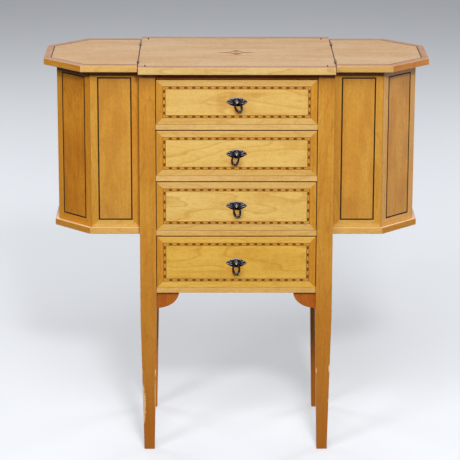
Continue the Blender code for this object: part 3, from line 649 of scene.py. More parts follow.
# Woods: name, pale, mid and dark tone, and what sets each apart
WOODS = (
    ("leg_veneer", *HONEY, dict(UPRIGHT, shine=0.2, edge_tone=RUBBED, edge_share=0.5, extra=leg_marks)),
    ("wall_veneer", (214, 160, 64), (202, 142, 48), (168, 104, 28),
     dict(WALL, extra=darken(WALL_SHADE, FOOT_GLOOM))),
    # the next two are lit and shaded copies of the wall veneer, for the right and left front diagonals: painted
    # light and shade
    ("rose_veneer", (220, 157, 58), (207, 139, 44), (172, 102, 26), dict(WALL, extra=darken(FOOT_GLOOM))),
    ("amber_veneer", (222, 152, 46), (206, 130, 32), (164, 90, 16),
     dict(UPRIGHT, shift=(0.5, 0.2, 0.9), lines=0.28, ripple=0.12, drift=0.28, coat=0.0, shine=0.1,
          extra=darken(FOOT_GLOOM))),
    ("floor_veneer", *HONEY, dict(rings=9.0, edge_tone=RUBBED_LEDGE_HIGHLIGHT, edge_share=0.9)),
    ("panel_veneer", *HONEY, dict(UPRIGHT, shift=(0.3, 0.1, 0.7), drift=0.20)),
    ("drawer_field", (235, 200, 118), (227, 186, 99), (196, 140, 56), FIELD),
    ("low_field", *CORN, FIELD),
    ("top_field", *SATIN, dict(BOARD, shift=(0.9, 0.4, 0.2))),
    ("lid_field", *SATIN, dict(BOARD, shift=(0.2, 1.3, 0.5))),
    ("rail_veneer", (230, 190, 118), (219, 175, 100), (182, 126, 62), RAIL),
    ("low_rail_veneer", (228, 184, 104), (217, 169, 88), (180, 120, 54), RAIL),
    ("shadow_rail", (156, 94, 46), (134, 74, 30), (98, 48, 18), dict(coat=0.0, shine=0.05)),
    ("bracket_wood", (190, 108, 34), (172, 90, 22), (128, 58, 12), dict(grain="Z", shine=0.15)),
    ("plain_pine", (216, 184, 134), (200, 164, 110), (160, 114, 66), dict(PINE, grain="Y")),
    ("bottom_pine", (218, 188, 140), (204, 168, 116), (164, 118, 70), PINE),
    # Bands with level grain are paler and upright or turned ones deeper: lit and shaded copies of one veneer,
    # painted sheen from the light above; the rosy and amber bands are such copies for the right and left front
    # diagonals, the inner band for the left wing's inner strip, and the lid and russet bands darker copies for
    # the right lid
    ("edge_band", (225, 195, 130), (216, 180, 109), (186, 134, 64), dict(STRIP, lines=0.5)),
    ("wheat_band", (224, 184, 106), (214, 168, 86), (186, 126, 50), dict(STRIP, lines=0.35)),
    ("deep_band", (212, 152, 52), (200, 134, 38), (166, 98, 24), dict(STRIP, shine=0.15)),
    ("amber_band", (222, 156, 52), (208, 136, 36), (170, 98, 20),
     dict(STRIP, coat=0.0, shine=0.1, extra=darken(LEFT_GLOOM))),
    ("outer_band", (212, 158, 64), (200, 140, 48), (166, 102, 30),
     dict(STRIP, shine=0.15, extra=darken(WALL_GLOOM))),
    ("inner_band", (210, 150, 53), (198, 132, 39), (164, 96, 24),
     dict(STRIP, shine=0.15, extra=darken(WALL_GLOOM))),
    ("foot_band", (221, 181, 98), (210, 165, 77), (178, 122, 44), dict(STRIP, lines=0.35)),
    ("russet_band", (212, 139, 55), (200, 123, 40), (166, 90, 25), dict(STRIP, lines=0.4, shine=0.15)),
    ("rosy_band", (226, 170, 86), (214, 152, 68), (178, 112, 44), dict(STRIP, extra=darken(RIGHT_GLOOM))),
    ("lid_band", (212, 173, 100), (203, 158, 81), (176, 118, 47), dict(STRIP, lines=0.35)),
    ("low_pale_band", *CORN, dict(STRIP, lines=0.35)),
    ("low_deep_band", (212, 146, 40), (198, 128, 28), (160, 90, 18), STRIP),
    # the ledge is paler than the floor's wood: a painted highlight where the light falls on it
    ("ledge_highlight_veneer", (255, 226, 190), (248, 212, 170), (216, 168, 122), dict(grain="strip")),
    ("joint_wood", (186, 112, 66), (168, 92, 50), (130, 66, 34), dict(grain="strip")),
    ("gap_shade_wood", (112, 62, 26), (94, 48, 16), (70, 32, 10), dict(grain="strip", coat=0.0, shine=0.1)),
    ("seam_wood", (138, 78, 28), (120, 62, 20), (88, 42, 12), dict(grain="strip", shine=0.1)),
    ("red_band", (213, 172, 142), (197, 149, 116), (158, 106, 81), dict(DULL, **STRIP)),
    ("dark_string", (44, 24, 12), (30, 15, 8), (18, 9, 5),
     dict(grain="strip", ripple=0.1, gloss=0.5, shine=0.1)),
    ("faint_string", *PLUM, dict(DULL, grain="strip", ripple=0.1)),
    ("banding_wood", (212, 157, 58), (197, 137, 42), (163, 100, 24), STRIP),
    ("banding_line", (112, 64, 26), (92, 48, 18), (68, 34, 12), dict(grain="strip")),
    ("dark_string_top", *PLUM, dict(DULL, ripple=0.1)),
    ("star_pale", (233, 195, 133), (223, 180, 116), (193, 140, 86), DULL),
    ("end_grain", (188, 140, 82), (164, 114, 60), (120, 74, 36), dict(gloss=0.6)),
    ("block_wood", (132, 71, 13), (114, 58, 8), (84, 41, 4), dict(gloss=0.45, shine=0.1)),
    ("star_red", (217, 158, 119), (204, 141, 105), (166, 106, 78), DULL),
)

# Metals: name, dark and bright tone, roughness, tone and strength of rubbed edges, how metallic each is
METALS = (
    ("black_iron", (32, 29, 31), (66, 61, 66), 0.26, (170, 162, 166), 0.8, 1.0),
    # the next three irons are painted highlights on the pulls, and the mouth's black below them is painted shade
    ("highlight_iron", (100, 98, 94), (134, 130, 124), 0.48, (170, 164, 158), 0.7, 0.5),
    ("tip_highlight_iron", (206, 196, 186), (232, 222, 212), 0.42, (240, 232, 224), 0.5, 0.2),
    ("rim_highlight_iron", (84, 78, 84), (122, 116, 122), 0.40, (176, 168, 174), 0.8, 0.7),
    ("mouth_shade_black", (14, 12, 12), (26, 23, 22), 0.6, (40, 36, 36), 0.3, 1.0),
    ("dull_steel", (108, 92, 82), (150, 134, 122), 0.40, (186, 172, 160), 0.6, 1.0),
)

FINISHES = {name: wood(name, pale, mid, dark, **ways) for name, pale, mid, dark, ways in WOODS}
FINISHES |= {values[0]: metal(*values) for values in METALS}


# Shapes

def as_mesh(name, shape):
    """Turn a mesh shape into a mesh."""
    mesh = bpy.data.meshes.new(name)
    shape.to_mesh(mesh)
    shape.free()
    return mesh


def place_object(name, data):
    """Place an object in the scene."""
    thing = bpy.data.objects.new(name, data)
    bpy.context.scene.collection.objects.link(thing)
    return thing


def mesh_piece(name, mesh, finishes, body, slot, *replaced):
    """Turn a finished mesh into a piece that rides on a body."""
    if not mesh.materials:
        for finish in finishes:
            mesh.materials.append(FINISHES[finish])
    piece = place_object(name, mesh)
    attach(piece, body)
    if replaced:
        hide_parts(*replaced)
    return piece


def smooth(piece):
    """Shade a piece smooth up to its sharp edges."""
    piece.data.shade_smooth()
    piece.data.set_sharp_from_angle(angle=SMOOTH_ANGLE)


def smooth_piece(name, shape, finishes, body, slot, *replaced):
    """Finish a rounded shape as a piece: merged, turned outwards and shaded smooth."""
    bmesh.ops.remove_doubles(shape, verts=shape.verts, dist=MERGE)
    bmesh.ops.dissolve_degenerate(shape, edges=shape.edges, dist=MERGE)
    bmesh.ops.recalc_face_normals(shape, faces=shape.faces)
    smooth(mesh_piece(name, as_mesh(name, shape), finishes, body, slot, *replaced))


def loft(shape, rings, closed=False):
    """Join rings of as many points each into one skin, capped at its ends or closed on itself."""
    loops = [[shape.verts.new(point) for point in ring] for ring in rings]
    pairs = list(zip(loops, loops[1:]))
    if closed:
        pairs.append((loops[-1], loops[0]))
    else:
        shape.faces.new(loops[0])
        shape.faces.new(loops[-1])
    for one, other in pairs:
        count = len(one)
        for index in range(count):
            after = (index + 1) % count
            shape.faces.new((one[index], one[after], other[after], other[index]))


def solid(rings):
    """Make a closed shape from rings, with its faces outwards."""
    shape = bmesh.new()
    loft(shape, rings)
    bmesh.ops.recalc_face_normals(shape, faces=shape.faces)
    return shape


def upright_strip(start, end, foot, head):
    """Give the corners of an upright rectangle over two points of the plan."""
    corners = ((start, foot), (end, foot), (end, head), (start, head))
    return [Vector((point.x, point.y, height)) for point, height in corners]


def level_strip(left, right, first, last, level):
    """Give the corners of a level rectangle between two places across and two in depth."""
    return [Vector((x, y, level)) for x, y in ((left, first), (right, first), (right, last), (left, last))]


def inset_outline(corners, out, distances):
    """Move each edge of a flat convex outline in by its own distance; edge i starts at corner i."""
    middle = sum(corners, Vector()) / len(corners)
    count = len(corners)
    lines = []
    for index, distance in enumerate(distances):
        start = corners[index]
        run = (corners[(index + 1) % count] - start).normalized()
        inward = out.cross(run)
        if inward.dot(middle - start) < 0:
            inward = -inward
        lines.append((start + inward * distance, run))
    moved = []
    for index in range(count):
        start, run = lines[index - 1]
        other_start, other_run = lines[index]
        sideways = out.cross(other_run)
        step = (other_start - start).dot(sideways) / run.dot(sideways)
        moved.append(start + run * step)
    return moved


class Veneer:
    """Thin strips of veneer on one body, collected into one mesh with the grain along each strip."""

    def __init__(self, *finishes):
        self.finishes = finishes
        self.shape = bmesh.new()
        self.grain = self.shape.loops.layers.uv.new("grain")
        self.chance = random.Random(SEED)

    def lay(self, corners, out, run, finish, proud=VENEER_PROUD):
        """Lay one flat strip on a surface that faces out, with its grain along the run."""
        run = Vector(run).normalized()
        across = out.cross(run)
        offset = Vector((self.chance.uniform(0, 5), self.chance.uniform(0, 5)))
        rings = [[corner + out * height for corner in corners] for height in (-VENEER_BED, proud)]
        before = len(self.shape.faces)
        loft(self.shape, rings)
        self.shape.faces.ensure_lookup_table()
        faces = self.shape.faces[before:]
        bmesh.ops.recalc_face_normals(self.shape, faces=faces)
        for face in faces:
            face.material_index = self.finishes.index(finish)
            for loop in face.loops:
                loop[self.grain].uv = Vector((loop.vert.co.dot(run), loop.vert.co.dot(across))) + offset

    def frame(self, corners, out, outer, inner, edges, proud=VENEER_PROUD):
        """Lay mitred strips between two insets of an outline; edges names each one's finish, or None."""
        far = inset_outline(corners, out, [outer if edge else 0.0 for edge in edges])
        near = inset_outline(corners, out, [inner if edge else 0.0 for edge in edges])
        for index, finish in enumerate(edges):
            if finish:
                after = (index + 1) % len(corners)
                strip = [far[index], far[after], near[after], near[index]]
                self.lay(strip, out, corners[after] - corners[index], finish, proud)

    def edge(self, corners, lower, upper, x_side, finishes):
        """Lay strips along a board's edges, from each corner to the next."""
        for start, end, finish in zip(corners, corners[1:], finishes):
            run = (end - start).normalized()
            inset = run * EDGE_INSET
            strip = upright_strip(start + inset, end - inset, lower + EDGE_INSET, upper - EDGE_INSET)
            self.lay(strip, run.cross(UP) * x_side, run, finish)

    def done(self, name, body, slot="veneer"):
        """Finish the strips as one piece."""
        mesh_piece(name, as_mesh(name, self.shape), self.finishes, body, slot)


# Geometry Nodes

def new_geometry_tree(name, inputs):
    """Start a Geometry Nodes tree with one geometry in and out, and named inputs."""
    tree = bpy.data.node_groups.new(name, "GeometryNodeTree")
    new_sockets(tree, "INPUT", [("Geometry", "Geometry")])
    new_sockets(tree, "OUTPUT", [("Geometry", "Geometry")])
    new_sockets(tree, "INPUT", inputs)
    return tree, open_tree(tree)


def close_geometry_tree(tree, geometry, shift, material):
    """Move a tree's geometry to its place, and end the tree in real geometry with its material."""
    moved = add(tree, "GeometryNodeTransform")
    tree.links.new(geometry, moved.inputs["Geometry"])
    tree.links.new(shift, moved.inputs["Translation"])
    realized = add(tree, "GeometryNodeRealizeInstances", (moved.outputs[0],))
    finished = add(tree, "GeometryNodeSetMaterial")
    tree.links.new(realized.outputs[0], finished.inputs["Geometry"])
    tree.links.new(material, finished.inputs["Material"])
    return close_group(tree, {"Geometry": finished.outputs[0]})


def grow(tree, values, base=None):
    """Run a tree with its inputs by name, and give the result as a plain mesh."""
    holder = place_object("grower", base or bpy.data.meshes.new("grower"))
    modifier = holder.modifiers.new("grow", "NODES")
    modifier.node_group = tree
    sockets = {item.name: item.identifier for item in tree.interface.items_tree if item.in_out == "INPUT"}
    for label, value in values.items():
        modifier[sockets[label]] = value
    bpy.context.view_layer.update()
    grown = holder.evaluated_get(bpy.context.evaluated_depsgraph_get())
    mesh = bpy.data.meshes.new_from_object(grown)
    bpy.data.objects.remove(holder)
    return mesh


def place_copies(tree, points, copied):
    """Place a copy of a geometry on each point."""
    placed = add(tree, "GeometryNodeInstanceOnPoints")
    tree.links.new(points, placed.inputs["Points"])
    tree.links.new(copied, placed.inputs["Instance"])
    return placed.outputs[0]


def place_row(tree, count, start, end, copied):
    """Place copies of a geometry in a row between two ends, each given across and up."""
    row = add(tree, "GeometryNodeMeshLine", mode="END_POINTS")
    tree.links.new(count, row.inputs["Count"])
    for label, (across, height) in (("Start Location", start), ("Offset", end)):
        point = add(tree, "ShaderNodeCombineXYZ", (across, 0.0, height))
        tree.links.new(point.outputs[0], row.inputs[label])
    return place_copies(tree, row.outputs[0], copied)


def make_block_tree():
    """Dark blocks in a row along each side of a rectangle that stands in the XZ plane."""
    inputs = [("Middle", "Vector"), ("Half Width", "Float"), ("Half Height", "Float"), ("Row Reach", "Float"),
              ("Column Reach", "Float"), ("Row Count", "Int"), ("Column Count", "Int"), ("Length", "Float"),
              ("Width", "Float"), ("Thickness", "Float"), ("Wood", "Material")]
    tree, given = new_geometry_tree("banding_blocks", inputs)
    joined = add(tree, "GeometryNodeJoinGeometry")

    def lay_blocks(count, start, end, length, height):
        size = add(tree, "ShaderNodeCombineXYZ", (given[length], given["Thickness"], given[height]))
        block = add(tree, "GeometryNodeMeshCube", (size.outputs[0],))
        tree.links.new(place_row(tree, given[count], start, end, block.outputs[0]), joined.inputs[0])

    row, column = given["Row Reach"], given["Column Reach"]
    back_row = sums(tree, "MULTIPLY", row, -1.0)
    back_column = sums(tree, "MULTIPLY", column, -1.0)
    for sign in (-1.0, 1.0):
        height = sums(tree, "MULTIPLY", given["Half Height"], sign)
        lay_blocks("Row Count", (back_row, height), (row, height), "Length", "Width")
        across = sums(tree, "MULTIPLY", given["Half Width"], sign)
        lay_blocks("Column Count", (across, back_column), (across, column), "Width", "Length")
    return close_geometry_tree(tree, joined.outputs[0], given["Middle"], given["Wood"])


def make_corner_tree():
    """Copies of the base mesh at the four corners of a level rectangle."""
    inputs = [("Middle", "Vector"), ("Width", "Float"), ("Depth", "Float"), ("Finish", "Material")]
    tree, given = new_geometry_tree("corner_copies", inputs)
    grid = add(tree, "GeometryNodeMeshGrid", (given["Width"], given["Depth"], 2, 2))
    copies = place_copies(tree, grid.outputs[0], given["Geometry"])
    return close_geometry_tree(tree, copies, given["Middle"], given["Finish"])


def make_stack_tree():
    """Copies of the base mesh in two upright rows, one at each side of a drawer."""
    inputs = [("Middle", "Vector"), ("Half Width", "Float"), ("Rise", "Float"), ("Count", "Int"),
              ("Finish", "Material")]
    tree, given = new_geometry_tree("dovetail_rows", inputs)
    joined = add(tree, "GeometryNodeJoinGeometry")
    foot = sums(tree, "MULTIPLY", given["Rise"], -0.5)
    head = sums(tree, "MULTIPLY", given["Rise"], 0.5)
    for sign in (-1.0, 1.0):
        across = sums(tree, "MULTIPLY", given["Half Width"], sign)
        row = place_row(tree, given["Count"], (across, foot), (across, head), given["Geometry"])
        tree.links.new(row, joined.inputs[0])
    return close_geometry_tree(tree, joined.outputs[0], given["Middle"], given["Finish"])


# Pulls

def oval_half_height(x):
    """Half the height of the pull's pointed oval at a place along it."""
    radius = (PLATE_HALF_WIDTH ** 2 + PLATE_HALF_HEIGHT ** 2) / (2 * PLATE_HALF_HEIGHT)
    return max(0.0, math.sqrt(radius ** 2 - x ** 2) - radius + PLATE_HALF_HEIGHT)


def in_mouth(x, z):
    """Tell whether a place on the pull's face lies in the dark mouth under the hood."""
    depth = (z - MOUTH_TOP) / (PLATE_HALF_HEIGHT + MOUTH_TOP)
    return -1 < depth < 0 and abs(x) < MOUTH_HALF_WIDTH * math.sqrt(1 - depth ** 2)


def flute(x, z):
    """Give how deep the flutes of the plate's fluted ends are at a place, from 0 on a crest to 1."""
    spread = math.atan2(z - FAN_FOOT, abs(x))
    return math.cos(math.pi * spread / FAN_PITCH) ** 2


def plate_height(x, share):
    """Height of the pull plate's face over the drawer front; share runs from -1 to 1 across the plate."""
    half = oval_half_height(x)
    z = share * half
    if in_mouth(x, z):
        return PLATE_EDGE
    inside = (1 - abs(share) ** PLATE_POWER) * min(1.0, half / PLATE_FADE)
    height = PLATE_EDGE + PLATE_CROWN * inside
    along = max(0.0, abs(x) - FAN_START)
    height -= FAN_HEIGHT * flute(x, z) * inside * min(1.0, along / FAN_FADE)
    round_off = 1 - (x / HOOD_HALF_WIDTH) ** 2 - ((z - HOOD_RISE) / HOOD_HALF_HEIGHT) ** 2
    if round_off > 0:
        height += HOOD_HEIGHT * round_off ** HOOD_POWER
    return height


def add_plate(shape, centre):
    """Add the pull's plate with its fluted ends and its hood, painted black for shade in the mouth under the hood
    and on the lower rim, with painted highlights on the upper rim and the crests.
    """
    rings = []
    for step in range(PLATE_STEPS + 1):
        x = -PLATE_HALF_WIDTH * math.cos(math.pi * step / PLATE_STEPS)
        half = oval_half_height(x)
        ring = []
        for index in range(PLATE_ROWS + 1):
            share = 2 * index / PLATE_ROWS - 1
            ring.append(centre + Vector((x, -plate_height(x, share), half * share)))
        ring.append(centre + Vector((x, VENEER_BED, half)))
        ring.append(centre + Vector((x, VENEER_BED, -half)))
        rings.append(ring)
    loft(shape, rings)
    for face in shape.faces:
        x, y, z = face.calc_center_median() - centre
        half = oval_half_height(x)
        crest = abs(x) > CREST_START and flute(x, z) < CREST
        if in_mouth(x, z) or z < LOWER_SHADE_SHARE * half:
            face.material_index = SHADE_BLACK
        elif y < 0 and (z > RIM_HIGHLIGHT_SHARE * half or crest):
            face.material_index = RIM_HIGHLIGHT


def squared(value):
    """Push a sine or cosine out towards a square."""
    return math.copysign(abs(value) ** EYE_SQUARENESS, value)


def add_eye(shape, axis):
    """Add the tapered eye that comes out of the hood and holds the ring, with a painted highlight on its front
    and painted shade below.
    """
    rings = []
    for step in range(EYE_STEPS):
        turn = 2 * math.pi * step / EYE_STEPS
        out = Vector((0.0, -math.cos(turn), math.sin(turn)))
        half = EYE_HALF_FOOT + (EYE_HALF_HEAD - EYE_HALF_FOOT) * ((1 + math.sin(turn)) / 2) ** EYE_TAPER
        ring = []
        for corner in range(EYE_SIDES):
            angle = 2 * math.pi * corner / EYE_SIDES
            rise = EYE_WALL * squared(math.cos(angle))
            sideways = Vector((half * squared(math.sin(angle)), 0.0, 0.0))
            ring.append(axis + out * (EYE_MIDDLE + rise) + sideways)
        rings.append(ring)
    before = len(shape.faces)
    loft(shape, rings, closed=True)
    shape.faces.ensure_lookup_table()
    for face in shape.faces[before:]:
        height = face.calc_center_median().z - axis.z
        if height < EYE_TIP_FOOT:
            face.material_index = SHADE_BLACK
        elif height < EYE_TIP_TOP:
            face.material_index = TIP_HIGHLIGHT
        elif height < EYE_BRIGHT_TOP:
            face.material_index = BRIGHT_HIGHLIGHT


def ring_place(turn, across, down):
    """Give the middle of the ring's wire at a turn from the top, about the ring's axis."""
    fullness = RING_FULLNESS if math.cos(turn) < 0 else 1.0
    side = math.copysign(abs(math.sin(turn)) ** fullness, math.sin(turn))
    return Vector((across * side, 0.0, down * (math.cos(turn) - 1)))


def add_ring(shape, axis, lean, height):
    """Add the drop ring, fuller and thicker below, hanging askew by the lean, with its lower inside rubbed bright
    and given a painted highlight.
    """
    across = RING_HALF_WIDTH - WIRE_RADIUS
    down = height / 2 - WIRE_RADIUS
    back = Vector((0.0, 1.0, 0.0))
    step_turn = 2 * math.pi / RING_STEPS
    rings = []
    for step in range(RING_STEPS):
        turn = step * step_turn
        swell = WIRE_SWELL * ((1 - math.cos(turn)) / 2) ** 2
        along = ring_place(turn + step_turn, across, down) - ring_place(turn - step_turn, across, down)
        outward = along.normalized().cross(back)
        middle = axis + ring_place(turn, across, down) - outward * swell
        ring = []
        for corner in range(WIRE_SIDES):
            angle = 2 * math.pi * corner / WIRE_SIDES
            toward = outward * math.cos(angle) + back * math.sin(angle)
            ring.append(middle + toward * (WIRE_RADIUS + swell))
        rings.append(ring)
    loft(shape, rings, closed=True)
    for index, face in enumerate(shape.faces):
        step, corner = divmod(index, WIRE_SIDES)
        from_inside = abs(2 * math.pi * (corner + 0.5) / WIRE_SIDES - math.pi)
        from_lowest = abs((step + 0.5) * step_turn - math.pi)
        if from_inside < RUB_HIGHLIGHT_SPAN and from_lowest < RING_RUB_HIGHLIGHT:
            face.material_index = RUBBED_RING_HIGHLIGHT
    bmesh.ops.rotate(shape, verts=shape.verts, cent=axis, matrix=Matrix.Rotation(-lean, 3, "Y"))


def make_pull(number):
    """Make a drawer's pull: the plate with its eye on the drawer, and the ring on its own body."""
    across, up = pull_place(number)
    centre = Vector((across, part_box(f"drawer_{number}_front")[0].y, up))
    axis = centre - Vector((0.0, RING_REACH, 0.0))
    plate = bmesh.new()
    add_plate(plate, centre)
    add_eye(plate, axis)
    smooth_piece(f"pull_{number}_escutcheon", plate, PLATE_IRONS, f"drawer_{number}", "iron",
                 f"pull_{number}_plate")
    ring = bmesh.new()
    lean, height = RING_HANGS[number - 1]
    add_ring(ring, axis, math.radians(lean), height)
    smooth_piece(f"pull_{number}_drop", ring, RING_IRONS, f"ring_{number}", "iron", f"pull_{number}_ring")


# Pieces

def smooth_hinges():
    """Stand a smoothly shaded copy in for each hinge leaf."""
    for name, node in NODES.items():
        if name.startswith("hinge_"):
            side = name.split("_")[1]
            body = f"{side}_lid" if name.endswith("lid_leaf") else "case"
            shape = bmesh.new()
            shape.from_mesh(node.data)
            smooth_piece(f"{name}_smooth", shape, ("dull_steel",), body, "steel", name)


def dress_frame():
    """Give the nodes of the frame their finishes, each by the first start of its name that is listed."""
    finishes = {
        "leg_": "leg_veneer", "side_panel_": "panel_veneer", "back_panel": "panel_veneer",
        "top_rail": "shadow_rail",
        "divider_rail_3": "low_rail_veneer", "divider_rail_": "rail_veneer", "dust_board_": "bottom_pine",
        "bottom_board": "low_rail_veneer", "bracket_": "bracket_wood", "centre_top": "top_field",
        "lid_": "lid_field", "wing_left_front_diagonal": "amber_veneer",
        "wing_right_front_diagonal": "rose_veneer", "wing_left_floor": "floor_veneer",
        "wing_right_floor": "floor_veneer", "wing_": "wall_veneer",
        "pull_": "black_iron", "hinge_": "dull_steel",
    }
    for number in DRAWERS:
        finishes[f"drawer_{number}_front"] = "low_field" if number == DRAWERS[-1] else "drawer_field"
        finishes[f"drawer_{number}_box"] = "plain_pine"
        finishes[f"drawer_{number}_bottom"] = "bottom_pine"
    for name, node in NODES.items():
        finish = next(finish for start, finish in finishes.items() if name.startswith(start))
        node.data.materials.clear()
        node.data.materials.append(FINISHES[finish])


def dress_drawer(number, block_tree):
    """Lay a drawer front's crossband, chequered band and blocks."""
    body = f"drawer_{number}"
    low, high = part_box(f"drawer_{number}_front")
    out = Vector((0.0, -1.0, 0.0))
    corners = upright_strip(low, Vector((high.x, low.y, 0.0)), low.z, high.z)
    # pale bands on the level edges and deep ones on the upright edges: lit and shaded copies, painted sheen
    bands = ("low_pale_band", "low_deep_band") if number == DRAWERS[-1] else ("wheat_band", "deep_band")
    border = Veneer(*bands)
    border.frame(corners, out, EDGE_INSET, CROSSBAND, bands * 2)
    border.done(f"drawer_{number}_crossband", body, "drawer_veneer")
    band = Veneer("banding_wood", "banding_line")
    inner = CROSSBAND + BANDING
    band.frame(corners, out, CROSSBAND, inner, ("banding_wood",) * 4)
    for start, end in ((CROSSBAND, CROSSBAND + BANDING_LINE), (inner - BANDING_LINE, inner)):
        band.frame(corners, out, start, end, ("banding_line",) * 4, BLOCK_PROUD)
    band.done(f"drawer_{number}_banding", body, "drawer_veneer")
    half_width = (high.x - low.x) / 2 - CROSSBAND - BANDING / 2
    half_height = (high.z - low.z) / 2 - CROSSBAND - BANDING / 2
    row_reach = half_width - ROW_START
    column_reach = half_height - COLUMN_START
    blocks = grow(block_tree, {
        "Middle": ((low.x + high.x) / 2, low.y, (low.z + high.z) / 2), "Half Width": half_width,
        "Half Height": half_height, "Row Reach": row_reach, "Column Reach": column_reach,
        "Row Count": round(2 * row_reach / BLOCK_PITCH) + 1,
        "Column Count": round(2 * column_reach / BLOCK_PITCH) + 1,
        "Length": BLOCK_LENGTH, "Width": BLOCK_WIDTH,
        "Thickness": 2 * BLOCK_PROUD, "Wood": FINISHES["block_wood"],
    })
    mesh_piece(f"drawer_{number}_banding_blocks", blocks, ("block_wood",), body, "drawer_veneer")


def dovetail_drawer(number, stack_tree):
    """Show the pins of a drawer front between the tails of its sides, narrow in front and wide behind."""
    outline = ((0.0, -PIN_ROOT), (PIN_LENGTH, -PIN_TIP), (PIN_LENGTH, PIN_TIP), (0.0, PIN_ROOT))
    pin = solid([[(x, y, z) for y, z in outline] for x in (-BLOCK_PROUD, BLOCK_PROUD)])
    box_low, box_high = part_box(f"drawer_{number}_box")
    rise = box_high.z - box_low.z
    count = round(rise / PIN_PITCH)
    pins = grow(stack_tree, {
        "Middle": (0.0, box_low.y, (box_low.z + box_high.z) / 2),
        "Half Width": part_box(f"drawer_{number}_front")[1].x,
        "Rise": rise * (count - 1) / count, "Count": count,
        "Finish": FINISHES["end_grain"],
    }, as_mesh("dovetail_pin", pin))
    mesh_piece(f"drawer_{number}_dovetails", pins, ("end_grain",), f"drawer_{number}", "drawer_veneer")


def wing_corners(side, x_side):
    """Give the outer corners of a wing from above, from its front inner corner round to the rear one."""
    front_low, front_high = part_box(f"wing_{side}_front")
    side_low, side_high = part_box(f"wing_{side}_side")
    near = min(abs(front_low.x), abs(front_high.x))
    far = max(abs(front_low.x), abs(front_high.x)) + MITRE_GAP
    outer = max(abs(side_low.x), abs(side_high.x))
    turn = side_high.y + MITRE_GAP
    points = [(near, front_low.y), (far, front_low.y), (outer, -turn),
              (outer, turn), (far, -front_low.y), (near, -front_low.y)]
    return [Vector((x_side * x, y, 0.0)) for x, y in points]


def dress_wing(side, x_side):
    """Lay the crossbands and strings of a wing's five walls, and the veneer on its floor's edge and ledge."""
    low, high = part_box(f"wing_{side}_front")
    corners = wing_corners(side, x_side)
    walls = len(corners) - 1
    border = Veneer("foot_band", "deep_band", "seam_wood", "amber_band", "rosy_band", "outer_band",
                    "inner_band")
    strings = Veneer("dark_string")
    # level foot bands paler than the upright ones, and the front diagonals and the left inner strip in their own
    # lit and shaded copies: painted light and shade
    diagonal, inner = ("amber_band", "inner_band") if x_side < 0 else ("rosy_band", "outer_band")
    bands = (("foot_band", "outer_band", "outer_band", inner), (diagonal,) * 4, ("deep_band",) * 4,
             ("deep_band",) * 4, ("foot_band", "deep_band", "deep_band", "deep_band"))
    for start, end, edges in zip(corners, corners[1:], bands):
        run = (end - start).normalized()
        out = run.cross(UP) * x_side
        wall = upright_strip(start, end, low.z, high.z)
        border.frame(wall, out, MITRE_GAP, WALL_STRING_INSET, edges)
        strings.frame(wall, out, WALL_STRING_INSET, WALL_STRING_INSET + WALL_STRING,
                      ("dark_string",) * 4, BLOCK_PROUD)
        if start is corners[0] or end is corners[-1]:
            joint, away = (start, run) if start is corners[0] else (end, -run)
            seam = upright_strip(joint, joint + away * SEAM, low.z, high.z)
            border.lay(seam, out, UP, "seam_wood", BLOCK_PROUD)
    border.done(f"wing_{side}_crossband", "case")
    strings.done(f"wing_{side}_strings", "case")
    floor_low, floor_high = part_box(f"wing_{side}_floor")
    overhang = max(abs(floor_low.x), abs(floor_high.x)) - abs(corners[2].x)
    edging = Veneer("wheat_band", "deep_band", "ledge_highlight_veneer")
    rim, far, near = (inset_outline(corners, UP, [-reach] * walls + [0.0])
                      for reach in (overhang, overhang - EDGE_INSET, MITRE_GAP))
    # front and rear edges pale and turned edges deep: lit and shaded copies, painted sheen
    edging.edge(rim, floor_low.z, floor_high.z, x_side, ("wheat_band", *("deep_band",) * 3, "wheat_band"))
    for index in range(walls):
        strip = [far[index], far[index + 1], near[index + 1], near[index]]
        ledge = [corner + UP * floor_high.z for corner in strip]
        edging.lay(ledge, UP, rim[index + 1] - rim[index], "ledge_highlight_veneer")
    edging.done(f"wing_{side}_floor_edging", "case")


def lid_corners(low, high, x_side):
    """Give a lid's corners from above, from its front inner corner round to the rear one."""
    inner, outer = (low.x, high.x) if x_side > 0 else (high.x, low.x)
    turn = x_side * LID_CHAMFER
    points = [(inner, low.y), (outer - turn, low.y), (outer, low.y + LID_CHAMFER),
              (outer, high.y - LID_CHAMFER), (outer - turn, high.y), (inner, high.y)]
    return [Vector((x, y, high.z)) for x, y in points]


def dress_lid(side, x_side):
    """Lay a lid's crossband, string and edge veneer."""
    low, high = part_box(f"lid_{side}")
    corners = lid_corners(low, high, x_side)
    body = f"{side}_lid"
    border = Veneer("red_band")
    border.frame(corners, UP, EDGE_INSET, LID_STRING_INSET, (*("red_band",) * 5, None))
    border.done(f"lid_{side}_crossband", body)
    strings = Veneer("dark_string", "faint_string")
    # the strings on the front, rear and cut-off corners are paler than the one on the outer end: painted sheen
    faint = ("faint_string",) * 2
    strings.frame(corners, UP, LID_STRING_INSET, LID_STRING_INSET + LID_STRING,
                  (*faint, "dark_string", *faint, None), BLOCK_PROUD)
    strings.done(f"lid_{side}_string", body)
    # front edge pale and turned edges deep, in darker copies on the right lid: painted light and shade
    front, turned = ("lid_band", "russet_band") if x_side > 0 else ("wheat_band", "deep_band")
    edging = Veneer(front, turned, "joint_wood")
    tones = (front, turned, turned, turned, front, "joint_wood")
    edging.edge(corners + corners[:1], low.z, high.z, x_side, tones)
    edging.done(f"lid_{side}_edging", body)


